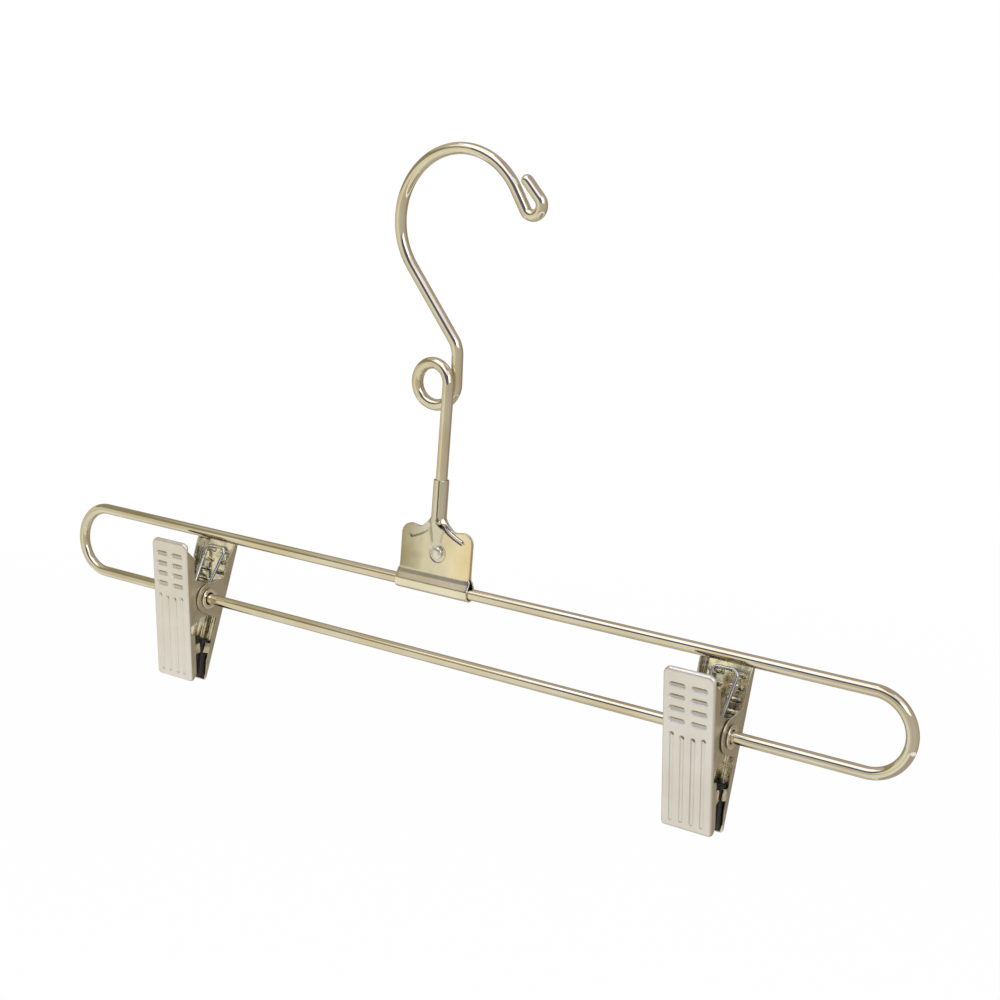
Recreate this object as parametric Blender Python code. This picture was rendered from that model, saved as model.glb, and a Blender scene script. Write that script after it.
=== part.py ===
"""Clip hanger: a flat wire loop hung from a swivelling wire hook, with two sprung clips on its lower run.

Metres, +Z up, +X along the loop. The hook hangs on a rod at the origin, and the swivel's axis is the Z axis.
"""

import math

import bmesh
import bpy
from mathutils import Matrix, Vector

for old in list(bpy.data.objects):
    bpy.data.objects.remove(old, do_unlink=True)

# Wire of the hook and of the loop
WIRE_R = 0.00205
RUN_CLEAR = 0.0002
SEAT_CLEAR = 0.0003
WIRE_SIDES_LEVEL = 4

# Wire loop: overall length and height, and the height of its top run below the rod
LOOP_LENGTH = 0.3561
LOOP_HEIGHT = 0.0302
RAIL_Z = -0.1501
BUTT_GAP = 0.0006

# Hook: inside radius at the crown, its centre's offset from the swivel, and its stem, eye and folded tip
HOOK_INSIDE_R = 0.0233
HOOK_OFFSET = -0.0007
STEM_SLOPE = math.radians(51.8)
STEM_BEND_R = 0.009
EYE_Z = -0.0790
EYE_R = 0.00745
EYE_PITCH = 0.0050
TIP_START = math.radians(31.5)
TIP_RUN = 0.0079
TIP_FOLD_R = 0.0034
TIP_FOLD_TURN = math.radians(191)
TIP_RETURN = 0.0062
TIP_CURL_R = 0.012
TIP_CURL_TURN = math.radians(7)
HEAD_R = 0.0024
HEAD_HEIGHT = 0.0016
HEAD_TAPER = 0.85
EYE_STEPS = 24
CROWN_STEPS = 30
FOLD_STEPS = 12
BEND_STEPS = 5
LOOP_STEPS = 14
END_ROUND = math.radians(80)
END_ROUND_STEPS = 3

# Saddle: folded sheet that holds the loop's top run and the hook's shank
SADDLE_SHEET = 0.0007
SADDLE_WIDTH = 0.031
PLATE_INSET = 0.0005
PLATE_GAP = 0.0003
BARREL_STEPS = 18
CREASE_HEIGHT = 0.0048
SHOULDER_HEIGHT = 0.0211
SHOULDER_R = 0.0040
SHOULDER_STEPS = 6
SHOULDER_DIP = 0.0005
SHOULDER_DIP_X = 0.0077
NECK_RISE = 0.0244
NECK_LENGTH = 0.0140
RIDGE_LENGTH = 0.0086
RIDGE_TIP_R = 0.0013
SEAM_ANGLE = math.radians(15)
SEAM_WIDTH = 0.00035
SLIT_MOUTH_WIDTH = 0.0013
SLIT_WIDTH = 0.0006
SLIT_BEND_X = 0.0016
SLIT_BEND_DROP = 0.0042
SLIT_END_X = 0.0105
SLIT_DROP = 0.0073
SLIT_STEPS = 6
RIVET_X = 0.0009
RIVET_RISE = 0.0122
RIVET_SHANK_R = 0.0013
RIVET_HEAD_R = 0.0022
RIVET_HEAD_HEIGHT = 0.0011
RIVET_TAIL_R = 0.0019
RIVET_TAIL_HEIGHT = 0.0005
RIVET_SIDES = 16

# Clip: pressed jaws on a hollow rivet that runs on the loop's lower wire
RIGHT_CLIP_X = 0.1084
LEFT_CLIP_X = -0.1159
RIGHT_LEAN = math.radians(-1.4)
LEFT_LEAN = math.radians(-4.8)
JAW_SHEET = 0.0007
JAW_ANGLE = math.radians(11.3)
JAW_FACE = 0.0104
JAW_WIDTH = 0.0185
JAW_TOP = 0.0244
JAW_BOTTOM = -0.0325
JAW_CORNER_R = 0.00275
JAW_TIP_CORNER_R = 0.0015
JAW_BEND_R = 0.0008
INNER_EAR_R = 0.0054
OUTER_EAR_R = 0.0060
EAR_STEPS = 14

# Jaw flanges: depths are from the outer face, heights are along the jaw from the pivot
LIP_DEPTH = 0.0017
FLANGE_STUB = 0.0011
FLANGE_DEPTH = 0.0043
INNER_FLANGE_START = 0.0215
INNER_FLANGE_FULL = 0.0180
OUTER_FLANGE_START = 0.0235
OUTER_FLANGE_START_DEPTH = 0.0023
OUTER_FLANGE_FULL = 0.0170
EAR_SHOULDER = 0.0090
NOTCH_TOP = -0.0095
NOTCH_BOTTOM = -0.0128
LOWER_FLANGE_DEPTH = 0.0031
OUTER_HEEL = -0.0120
FLANGE_TAPER = 0.0030
CLAW_TOP = -0.0175
CLAW_BOTTOM = -0.0215

# Pressed pattern of a jaw: rows of short ribs on the handle, and long grooves below them
EMBOSS_DEPTH = 0.0004
EMBOSS_ROUND_STEPS = 4
RIB_ROWS = 4
RIB_TOP = 0.0188
RIB_SPACING = 0.0041
RIB_X = 0.0039
RIB_LENGTH = 0.0052
RIB_WIDTH = 0.0017
GROOVE_X = (0.00195, 0.0056)
GROOVE_TOP = (0.0016, 0.0022)
GROOVE_BOTTOM = -0.0300
GROOVE_WIDTH = 0.0016

# Hollow rivet and pads
TUBE_BORE_CLEAR = 0.00035
TUBE_WALL = 0.0006
TUBE_FLARE = 0.0009
TUBE_FLARE_THICK = 0.0006
PAD_WIDTH = 0.0160
PAD_TOP = -0.0168
PAD_BOTTOM = -0.0310
PAD_EDGE = 0.0007
PAD_GAP = 0.0003

# Torsion spring round the hollow rivet
SPRING_WIRE_R = 0.0006
SPRING_PITCH = 0.00166
SPRING_FULL_TURNS = 2
SPRING_BRIDGE_SPREAD = 0.0016
SPRING_BRIDGE_HEIGHT = 0.0203
SPRING_LEG_HEIGHT = 0.0172
SPRING_CORNER_R = 0.0012
SPRING_CORNER_STEPS = 4
CURL_POINTS = 10
SPRING_APART = 8

# Sizes that follow from those above
LOOP_RADIUS = LOOP_HEIGHT / 2 - WIRE_R
LOOP_RUN_HALF = LOOP_LENGTH / 2 - LOOP_HEIGHT / 2
LOWER_Z = RAIL_Z - 2 * LOOP_RADIUS
WIRE_BORE_R = WIRE_R + RUN_CLEAR
PLATE_IN = PLATE_GAP / 2
PLATE_OUT = PLATE_IN + SADDLE_SHEET
NECK_BASE = RAIL_Z + NECK_RISE
NECK_TOP = NECK_BASE + NECK_LENGTH
NECK_OUT_R = WIRE_BORE_R + SADDLE_SHEET
POCKET_R = HEAD_R + RUN_CLEAR
RIVET_Z = RAIL_Z + RIVET_RISE
JAW_OFFSET = (SEAT_CLEAR + JAW_SHEET) / 2
CLIP_HALF = JAW_WIDTH / 2 + JAW_OFFSET
TUBE_BORE_R = WIRE_R + TUBE_BORE_CLEAR
TUBE_R = TUBE_BORE_R + TUBE_WALL
EAR_HOLE_R = TUBE_R + SEAT_CLEAR
SPRING_COIL_R = TUBE_R + SEAT_CLEAR + SPRING_WIRE_R
SPRING_COIL_END = JAW_WIDTH / 2 - JAW_SHEET - JAW_OFFSET - SEAT_CLEAR - SPRING_WIRE_R


def material(name, colour, metallic, roughness):
    """A Principled material with the piece's colour."""
    made = bpy.data.materials.new(name)
    made.use_nodes = True
    shader = made.node_tree.nodes["Principled BSDF"]
    shader.inputs["Base Color"].default_value = (*colour, 1)
    shader.inputs["Metallic"].default_value = metallic
    shader.inputs["Roughness"].default_value = roughness
    made.diffuse_color = (*colour, 1)
    return made


WIRE_CHROME = material("wire_chrome", (0.78, 0.75, 0.68), 1.0, 0.12)
SADDLE_PLATE = material("saddle_plate", (0.76, 0.70, 0.56), 1.0, 0.2)
RIVET_STEEL = material("rivet_steel", (0.80, 0.78, 0.72), 1.0, 0.2)
JAW_SATIN = material("jaw_satin", (0.68, 0.65, 0.59), 1.0, 0.38)
TUBE_BRIGHT = material("tube_bright", (0.75, 0.74, 0.70), 1.0, 0.15)
SPRING_STEEL = material("spring_steel", (0.55, 0.56, 0.56), 1.0, 0.25)
PAD_RUBBER = material("pad_rubber", (0.03, 0.03, 0.03), 0.0, 0.75)


def arc(centre, radius, start, end, steps):
    """Points of an arc in a plane, both ends included."""
    points = []
    for i in range(steps + 1):
        angle = start + (end - start) * i / steps
        points.append((centre[0] + radius * math.cos(angle), centre[1] + radius * math.sin(angle)))
    return points


def tangent_angle(point, radius, side):
    """Where the line from a point touches a circle round (0, 0), on one side of it."""
    distance = math.hypot(*point)
    return math.atan2(point[1], point[0]) + side * math.acos(radius / distance)


def prism(outline, axis, low, high):
    """A closed prism: the outline lies in the two axes other than the given one."""
    place = {
        "X": lambda a, b, c: (c, a, b),
        "Y": lambda a, b, c: (a, c, b),
        "Z": lambda a, b, c: (a, b, c),
    }[axis]
    bm = bmesh.new()
    bottom = [bm.verts.new(place(a, b, low)) for a, b in outline]
    face = bm.faces.new(bottom)
    extruded = bmesh.ops.extrude_face_region(bm, geom=[face])
    moved = [item for item in extruded["geom"] if isinstance(item, bmesh.types.BMVert)]
    bmesh.ops.translate(bm, vec=place(0, 0, high - low), verts=moved)
    bmesh.ops.recalc_face_normals(bm, faces=bm.faces)
    return bm


def turned(profile, axis, steps=24):
    """A closed solid of revolution: the profile's points are (radius, height along the axis)."""
    bm = bmesh.new()
    points = [bm.verts.new((r, 0, h)) for r, h in profile]
    edges = [bm.edges.new((points[i], points[(i + 1) % len(points)])) for i in range(len(points))]
    bmesh.ops.spin(bm, geom=points + edges, cent=(0, 0, 0), axis=(0, 0, 1), angle=math.tau, steps=steps)
    bmesh.ops.remove_doubles(bm, verts=bm.verts, dist=1e-6)
    flat = [edge for edge in bm.edges if not edge.link_faces]
    bmesh.ops.delete(bm, geom=flat, context="EDGES")
    bmesh.ops.recalc_face_normals(bm, faces=bm.faces)
    if axis == "X":
        bmesh.ops.rotate(bm, cent=(0, 0, 0), matrix=Matrix.Rotation(math.pi / 2, 3, "Y"), verts=bm.verts)
    if axis == "Y":
        bmesh.ops.rotate(bm, cent=(0, 0, 0), matrix=Matrix.Rotation(-math.pi / 2, 3, "X"), verts=bm.verts)
    return bm


def place_mesh(name, bm, surface=None, parent=None):
    """An object from a bmesh, or a hidden cutter where it has no surface."""
    mesh = bpy.data.meshes.new(name)
    bm.to_mesh(mesh)
    bm.free()
    placed = bpy.data.objects.new(name, mesh)
    bpy.context.scene.collection.objects.link(placed)
    placed.parent = parent
    if surface:
        mesh.materials.append(surface)
        mesh.shade_smooth()
        mesh.set_sharp_from_angle(angle=math.radians(35))
    else:
        placed.hide_render = True
        placed.display_type = "WIRE"
    return placed


def combine(target, bm, operation, label):
    """Cuts, joins or intersects the target with a hidden solid that moves with it."""
    other = place_mesh(f"{target.name}_{label}", bm, parent=target)
    boolean = target.modifiers.new(label, "BOOLEAN")
    boolean.operation = operation
    boolean.object = other
    boolean.solver = "EXACT"


def wire(name, points, radius, surface, parent=None, radii=None, level=WIRE_SIDES_LEVEL):
    """Round wire along a list of points, with flat closed ends."""
    curve = bpy.data.curves.new(name, "CURVE")
    curve.dimensions = "3D"
    curve.bevel_depth = radius
    curve.bevel_resolution = level
    curve.use_fill_caps = True
    spline = curve.splines.new("POLY")
    spline.points.add(len(points) - 1)
    for i, point in enumerate(points):
        spline.points[i].co = (*point, 1)
        spline.points[i].radius = radii[i] if radii else 1
    curve.materials.append(surface)
    placed = bpy.data.objects.new(name, curve)
    bpy.context.scene.collection.objects.link(placed)
    placed.parent = parent
    return placed


def frame_loop():
    """One wire bent to a long flat loop, with its ends butted inside the saddle."""
    right = arc((LOOP_RUN_HALF, RAIL_Z - LOOP_RADIUS), LOOP_RADIUS, math.pi / 2, -math.pi / 2, LOOP_STEPS)
    left = [(-x, z) for x, z in reversed(right)]
    route = [(BUTT_GAP / 2, RAIL_Z)] + right + left + [(-BUTT_GAP / 2, RAIL_Z)]
    wire("frame_loop", [(x, 0, z) for x, z in route], WIRE_R, WIRE_CHROME)


def hook():
    """Wire from its upset head up the shank, round the eye and over the crown to the folded tip."""
    crown_r = HOOK_INSIDE_R + WIRE_R
    centre = Vector((HOOK_OFFSET, -HOOK_INSIDE_R))
    leave = math.pi + math.pi / 2 - STEM_SLOPE
    touch = centre + crown_r * Vector((math.cos(leave), math.sin(leave)))
    corner_z = touch.y + touch.x * math.tan(STEM_SLOPE)
    turn = math.pi / 2 - STEM_SLOPE
    bend_start = corner_z - STEM_BEND_R * math.tan(turn / 2)
    flat = arc((-STEM_BEND_R, bend_start), STEM_BEND_R, 0, turn, BEND_STEPS)
    flat += arc(centre, crown_r, leave, TIP_START, CROWN_STEPS)

    # The fold leaves the crown's circle straight, then turns back outward
    heading = TIP_START - math.pi / 2
    spot = Vector(flat[-1]) + TIP_RUN * Vector((math.cos(heading), math.sin(heading)))
    fold = spot + TIP_FOLD_R * Vector((-math.sin(heading), math.cos(heading)))
    first = heading - math.pi / 2
    flat += arc(fold, TIP_FOLD_R, first, first + TIP_FOLD_TURN, FOLD_STEPS)
    heading += TIP_FOLD_TURN
    spot = Vector(flat[-1]) + TIP_RETURN * Vector((math.cos(heading), math.sin(heading)))
    curl = spot + TIP_CURL_R * Vector((-math.sin(heading), math.cos(heading)))
    first = heading - math.pi / 2
    flat += arc(curl, TIP_CURL_R, first, first + TIP_CURL_TURN, BEND_STEPS)
    heading += TIP_CURL_TURN

    # The eye is one turn to the left, and the stem rises behind the shank and leans back over it
    head_top = NECK_BASE - SEAT_CLEAR
    chamfer = HEAD_HEIGHT / 4
    points = [(0, 0, head_top - HEAD_HEIGHT), (0, 0, head_top - HEAD_HEIGHT + chamfer)]
    points += [(0, 0, head_top - chamfer), (0, 0, head_top)]
    radii = [HEAD_R / WIRE_R * HEAD_TAPER, HEAD_R / WIRE_R, HEAD_R / WIRE_R, 1]
    for i in range(EYE_STEPS + 1):
        angle = math.tau * i / EYE_STEPS
        across = EYE_R * (math.cos(angle) - 1)
        points.append((across, EYE_PITCH * i / EYE_STEPS, EYE_Z + EYE_R * math.sin(angle)))
    top = WIRE_R
    for x, z in flat:
        points.append((x, EYE_PITCH * (top - z) / (top - EYE_Z), z))
    radii += [1] * (len(points) - len(radii))

    # The end is rounded over
    end = Vector(points[-1])
    ahead = Vector((math.cos(heading), 0, math.sin(heading)))
    for i in range(1, END_ROUND_STEPS + 1):
        share = END_ROUND * i / END_ROUND_STEPS
        points.append(tuple(end + ahead * WIRE_R * math.sin(share)))
        radii.append(math.cos(share))
    wire("hook", points, WIRE_R, WIRE_CHROME, radii=radii)


def saddle_section():
    """End view of the folded sheet: two plates and the barrel that wraps the loop's wire."""
    touch = tangent_angle((PLATE_OUT, CREASE_HEIGHT), NECK_OUT_R, -1)
    crease_in = (WIRE_BORE_R - PLATE_IN * math.cos(touch)) / math.sin(touch)
    top = NECK_RISE + SADDLE_SHEET
    outer = arc((0, 0), NECK_OUT_R, touch, -math.pi - touch, BARREL_STEPS)
    inner = arc((0, 0), WIRE_BORE_R, -math.pi - touch, touch, BARREL_STEPS)
    section = [(PLATE_OUT, top), (PLATE_OUT, CREASE_HEIGHT)] + outer
    section += [(-PLATE_OUT, CREASE_HEIGHT), (-PLATE_OUT, top), (-PLATE_IN, top), (-PLATE_IN, crease_in)]
    section += inner + [(PLATE_IN, crease_in), (PLATE_IN, top)]
    return [(y, z + RAIL_Z) for y, z in section]


def saddle_outline():
    """Front view of the plates: round shoulders that dip and then rise to the neck."""
    half = SADDLE_WIDTH / 2
    plate_half = half - PLATE_INSET
    crease = RAIL_Z + CREASE_HEIGHT
    shoulder = RAIL_Z + SHOULDER_HEIGHT
    right = [(half, RAIL_Z - 2 * NECK_OUT_R), (half, crease - SADDLE_SHEET), (plate_half, crease)]
    right += arc((plate_half - SHOULDER_R, shoulder - SHOULDER_R), SHOULDER_R, 0, math.pi / 2, SHOULDER_STEPS)
    right += [(SHOULDER_DIP_X, shoulder - SHOULDER_DIP)]
    right += [(SHOULDER_DIP_X - 2 * SADDLE_SHEET, shoulder)]
    right += [(NECK_OUT_R + SADDLE_SHEET, NECK_BASE - SADDLE_SHEET)]
    right += [(NECK_OUT_R - RUN_CLEAR, NECK_BASE + SADDLE_SHEET / 2)]
    return right + [(-x, z) for x, z in reversed(right)]


def slit_outline(above):
    """Front view of a tab's seam, which widens to a slit across the shoulder and ends round."""
    seam_x = NECK_OUT_R * math.sin(SEAM_ANGLE)
    top = Vector((seam_x, above))
    turn = Vector((seam_x, NECK_BASE + 2 * SADDLE_SHEET))
    bend = Vector((SLIT_BEND_X, NECK_BASE - SLIT_BEND_DROP))
    end = Vector((SLIT_END_X, NECK_BASE - SLIT_DROP))
    stroke = [top]
    for i in range(SLIT_STEPS + 1):
        t = i / SLIT_STEPS
        stroke.append((1 - t) ** 2 * turn + 2 * t * (1 - t) * bend + t * t * end)
    left = []
    right = []
    for i, point in enumerate(stroke):
        along = (stroke[min(i + 1, len(stroke) - 1)] - stroke[max(i - 1, 0)]).normalized()
        wide = SEAM_WIDTH
        if i > 1:
            wide = SLIT_MOUTH_WIDTH + (SLIT_WIDTH - SLIT_MOUTH_WIDTH) * (i - 2) / (len(stroke) - 3)
        side = Vector((-along.y, along.x)) * wide / 2
        left.append(tuple(point + side))
        right.append(tuple(point - side))
    heading = math.atan2(along.y, along.x)
    tip = arc(end, SLIT_WIDTH / 2, heading + math.pi / 2, heading - math.pi / 2, 4)[1:-1]
    return left + tip + right[::-1]


def saddle():
    """Sheet folded over the loop's wire, riveted through, with two half-round tabs closing on the shank."""
    long = SADDLE_WIDTH / 2 + SADDLE_SHEET
    body = place_mesh("saddle", prism(saddle_section(), "X", -long, long), SADDLE_PLATE)
    reach = 4 * NECK_OUT_R
    combine(body, prism(saddle_outline(), "Y", -reach, reach), "INTERSECT", "outline")

    ridge_end = NECK_BASE - RIDGE_LENGTH
    pocket_out = POCKET_R + SADDLE_SHEET
    shell = [(0, ridge_end), (RIDGE_TIP_R, ridge_end), (pocket_out, NECK_BASE - RUN_CLEAR)]
    shell += [(NECK_OUT_R, NECK_BASE + SADDLE_SHEET), (NECK_OUT_R, NECK_TOP), (0, NECK_TOP)]
    combine(body, turned(shell, "Z"), "UNION", "neck")

    above = NECK_TOP + SADDLE_SHEET
    floor = ridge_end + SADDLE_SHEET
    hollow = [(0, floor), (PLATE_IN, floor), (POCKET_R, NECK_BASE - HEAD_HEIGHT), (POCKET_R, NECK_BASE)]
    hollow += [(WIRE_BORE_R, NECK_BASE + PLATE_IN), (WIRE_BORE_R, above), (0, above)]
    combine(body, turned(hollow, "Z"), "DIFFERENCE", "bore")

    parting = [(-pocket_out, NECK_BASE), (pocket_out, NECK_BASE)]
    parting += [(pocket_out, ridge_end), (-pocket_out, ridge_end)]
    combine(body, prism(parting, "Y", -PLATE_IN, PLATE_IN), "DIFFERENCE", "parting")

    # Each tab parts from the other plate along its seam and slit
    outline = slit_outline(above)
    combine(body, prism(outline, "Y", -reach, 0), "DIFFERENCE", "front_seam")
    combine(body, prism([(-x, z) for x, z in outline], "Y", 0, reach), "DIFFERENCE", "rear_seam")

    hole_r = RIVET_SHANK_R + SEAT_CLEAR
    hole = turned([(0, -reach), (hole_r, -reach), (hole_r, reach), (0, reach)], "Y", RIVET_SIDES)
    bmesh.ops.translate(hole, vec=(RIVET_X, 0, RIVET_Z), verts=hole.verts)
    combine(body, hole, "DIFFERENCE", "rivet_hole")


def saddle_rivet():
    """Domed rivet through both plates, closed over at the back."""
    seat = PLATE_OUT + SEAT_CLEAR
    head = []
    for r, rise in arc((0, 0), 1, 0, math.pi / 2, 4)[:-1]:
        head.append((RIVET_HEAD_R * r, seat + RIVET_HEAD_HEIGHT * rise))
    head.append((0, seat + RIVET_HEAD_HEIGHT))
    back = -seat - RIVET_TAIL_HEIGHT
    profile = [(RIVET_SHANK_R, -seat), (RIVET_SHANK_R, seat)] + head
    profile += [(0, back), (RIVET_TAIL_R - RIVET_TAIL_HEIGHT, back), (RIVET_TAIL_R, -seat)]
    solid = turned(profile, "Y", RIVET_SIDES)
    bmesh.ops.rotate(solid, cent=(0, 0, 0), matrix=Matrix.Rotation(math.pi, 3, "Z"), verts=solid.verts)
    bmesh.ops.translate(solid, vec=(RIVET_X, 0, RIVET_Z), verts=solid.verts)
    place_mesh("saddle_rivet", solid, RIVET_STEEL)


def tray_outline(half, top, bottom, corner, tip_corner):
    """Front view of a jaw or of its hollow."""
    outline = arc((half - corner, top - corner), corner, 0, math.pi / 2, 5)
    outline += [(-x, z) for x, z in reversed(outline)]
    lower = arc((half - tip_corner, bottom + tip_corner), tip_corner, -math.pi / 2, 0, 3)
    return outline + [(-x, z) for x, z in reversed(lower)] + lower


def low_start():
    """Top of the front jaw's inner flange, which starts below the corner and deepens on a slope."""
    lip = LIP_DEPTH - JAW_FACE
    stub = FLANGE_STUB - JAW_FACE
    top = [(lip, JAW_TOP + JAW_SHEET), (lip, JAW_TOP - 2 * JAW_SHEET), (stub, JAW_TOP - JAW_CORNER_R)]
    return top + [(stub, INNER_FLANGE_START), (FLANGE_DEPTH - JAW_FACE, INNER_FLANGE_FULL)]


def sloped_start():
    """Top of an outer flange, which deepens on a slope from the corner."""
    top = [(LIP_DEPTH - JAW_FACE, JAW_TOP + JAW_SHEET), (LIP_DEPTH - JAW_FACE, JAW_TOP)]
    top += [(OUTER_FLANGE_START_DEPTH - JAW_FACE, OUTER_FLANGE_START)]
    return top + [(FLANGE_DEPTH - JAW_FACE, OUTER_FLANGE_FULL)]


def round_start():
    """Top of the rear jaw's inner flange, which rounds down from the lip."""
    lip = LIP_DEPTH - JAW_FACE
    corner = FLANGE_DEPTH - LIP_DEPTH
    return [(lip, JAW_TOP + JAW_SHEET)] + arc((lip, JAW_TOP - corner), corner, math.pi / 2, 0, 5)


def inner_flange_waste(top):
    """Side view of what is cut away inside the flange whose ear goes inside the other jaw's."""
    full = FLANGE_DEPTH - JAW_FACE
    stub = FLANGE_STUB - JAW_FACE
    low = LOWER_FLANGE_DEPTH - JAW_FACE
    upper = tangent_angle((full, EAR_SHOULDER), INNER_EAR_R, -1)
    lower = tangent_angle((stub, NOTCH_TOP), INNER_EAR_R, 1)
    edge = top + [(full, EAR_SHOULDER)] + arc((0, 0), INNER_EAR_R, upper, lower, EAR_STEPS)
    edge += [(stub, NOTCH_TOP), (stub, NOTCH_BOTTOM), (low, NOTCH_BOTTOM - JAW_SHEET)]
    edge += [(low, JAW_BOTTOM + FLANGE_TAPER), (stub, JAW_BOTTOM), (stub, JAW_BOTTOM - JAW_SHEET)]
    return edge + [(2 * JAW_FACE, JAW_BOTTOM - JAW_SHEET), (2 * JAW_FACE, JAW_TOP + JAW_SHEET)]


def outer_flange_waste(top):
    """Side view of what is cut away inside the flange whose ear goes outside the other jaw's."""
    full = FLANGE_DEPTH - JAW_FACE
    stub = FLANGE_STUB - JAW_FACE
    low = LOWER_FLANGE_DEPTH - JAW_FACE
    upper = tangent_angle((full, EAR_SHOULDER), OUTER_EAR_R, -1)
    lower = tangent_angle((low, OUTER_HEEL), OUTER_EAR_R, 1)
    edge = top + [(full, EAR_SHOULDER)] + arc((0, 0), OUTER_EAR_R, upper, lower, EAR_STEPS)
    edge += [(low, OUTER_HEEL), (low, CLAW_BOTTOM - FLANGE_TAPER), (stub, JAW_BOTTOM + JAW_SHEET)]
    edge.append((stub, JAW_BOTTOM - JAW_SHEET))
    return edge + [(2 * JAW_FACE, JAW_BOTTOM - JAW_SHEET), (2 * JAW_FACE, JAW_TOP + JAW_SHEET)]


def embossing(low, high):
    """All the ribs and grooves of a jaw as prisms with round ends, from one depth to another."""
    strips = []
    for row in range(RIB_ROWS):
        z = RIB_TOP - RIB_SPACING * row
        for x in (-RIB_X, RIB_X):
            strips.append((x, z, RIB_LENGTH / 2, RIB_WIDTH / 2, False))
    for x, top in zip(GROOVE_X, GROOVE_TOP):
        for side in (-1, 1):
            half_long = (top - GROOVE_BOTTOM) / 2
            strips.append((side * x, top - half_long, half_long, GROOVE_WIDTH / 2, True))
    together = bmesh.new()
    for x, z, half_long, round_r, upright in strips:
        straight = half_long - round_r
        outline = arc((straight, 0), round_r, -math.pi / 2, math.pi / 2, EMBOSS_ROUND_STEPS)
        outline += arc((-straight, 0), round_r, math.pi / 2, 3 * math.pi / 2, EMBOSS_ROUND_STEPS)
        if upright:
            outline = [(-b, a) for a, b in outline]
        strip = prism([(x + a, z + b) for a, b in outline], "Y", low, high)
        mesh = bpy.data.meshes.new("strip")
        strip.to_mesh(mesh)
        strip.free()
        together.from_mesh(mesh)
        bpy.data.meshes.remove(mesh)
    return together


def jaw(name, parent, turn, shift, inner_top):
    """A pressed sheet jaw: a tray with side flanges, ears for the rivet and claws that hold the pad.

    The jaws of a clip differ only in the top of their inner flange. They face each other a little to either
    side of the middle, so that each has one ear inside and one ear outside the other's.
    """
    half = JAW_WIDTH / 2
    depth = JAW_FACE / 2 + OUTER_EAR_R
    front = tray_outline(half, JAW_TOP, JAW_BOTTOM, JAW_CORNER_R, JAW_TIP_CORNER_R)
    blank = prism(front, "Y", -JAW_FACE, depth)
    rim = [edge for edge in blank.edges if all(abs(v.co.y + JAW_FACE) < 1e-7 for v in edge.verts)]
    bmesh.ops.bevel(blank, geom=rim, offset=JAW_BEND_R, segments=2, affect="EDGES", profile=0.5)
    body = place_mesh(name, blank, JAW_SATIN, parent)
    body.location = (shift, 0, 0)
    body.rotation_euler = turn

    inner = half - JAW_SHEET
    inside = JAW_SHEET - JAW_FACE
    hollow_r = JAW_CORNER_R - JAW_SHEET
    hollow = tray_outline(inner, JAW_TOP - JAW_SHEET, 2 * JAW_BOTTOM, hollow_r, JAW_TIP_CORNER_R)
    combine(body, prism(hollow, "Y", inside, 2 * depth), "DIFFERENCE", "hollow")
    outer = prism(outer_flange_waste(sloped_start()), "X", -JAW_WIDTH, 0)
    combine(body, outer, "DIFFERENCE", "outer_flange")
    far = prism(inner_flange_waste(inner_top), "X", -JAW_SHEET, JAW_WIDTH)
    combine(body, far, "DIFFERENCE", "inner_flange")
    hole = [(0, -JAW_WIDTH), (EAR_HOLE_R, -JAW_WIDTH), (EAR_HOLE_R, JAW_WIDTH), (0, JAW_WIDTH)]
    combine(body, turned(hole, "X"), "DIFFERENCE", "ear_holes")

    # The claws start inside the flanges and lean in to the pad's sides
    root = LOWER_FLANGE_DEPTH - JAW_FACE
    reach = CLAW_BOTTOM * math.tan(JAW_ANGLE) - SEAT_CLEAR
    hold = PAD_WIDTH / 2 + SEAT_CLEAR
    for side, label in ((-1, "left_claw"), (1, "right_claw")):
        claw = [(inner, root - JAW_SHEET), (half, root - JAW_SHEET), (half, root)]
        claw += [(hold + JAW_SHEET, reach), (hold, reach), (inner, root)]
        strip = prism([(side * x, y) for x, y in claw], "Z", CLAW_BOTTOM, CLAW_TOP)
        combine(body, strip, "UNION", label)

    # The pattern is pressed inward, so it is sunk outside and stands proud inside
    combine(body, embossing(inside - JAW_SHEET / 2, inside + EMBOSS_DEPTH), "UNION", "proud")
    combine(body, embossing(-JAW_FACE - JAW_SHEET, EMBOSS_DEPTH - JAW_FACE), "DIFFERENCE", "sunk")


def pad(name, parent, turn, shift):
    """A wedge of rubber between a jaw's inner face and the clip's middle plane."""
    middle = math.tan(JAW_ANGLE)
    seat = JAW_SHEET + EMBOSS_DEPTH + SEAT_CLEAR - JAW_FACE
    grip_top = PAD_TOP * middle - PAD_GAP / 2
    grip_edge = (PAD_BOTTOM + PAD_EDGE) * middle - PAD_GAP / 2
    section = [(seat, PAD_TOP), (grip_top, PAD_TOP), (grip_edge, PAD_BOTTOM + PAD_EDGE)]
    section += [(grip_edge - PAD_EDGE, PAD_BOTTOM), (seat + PAD_EDGE, PAD_BOTTOM)]
    section += [(seat, PAD_BOTTOM + PAD_EDGE)]
    placed = place_mesh(name, prism(section, "X", -PAD_WIDTH / 2, PAD_WIDTH / 2), PAD_RUBBER, parent)
    placed.location = (shift, 0, 0)
    placed.rotation_euler = turn


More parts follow.
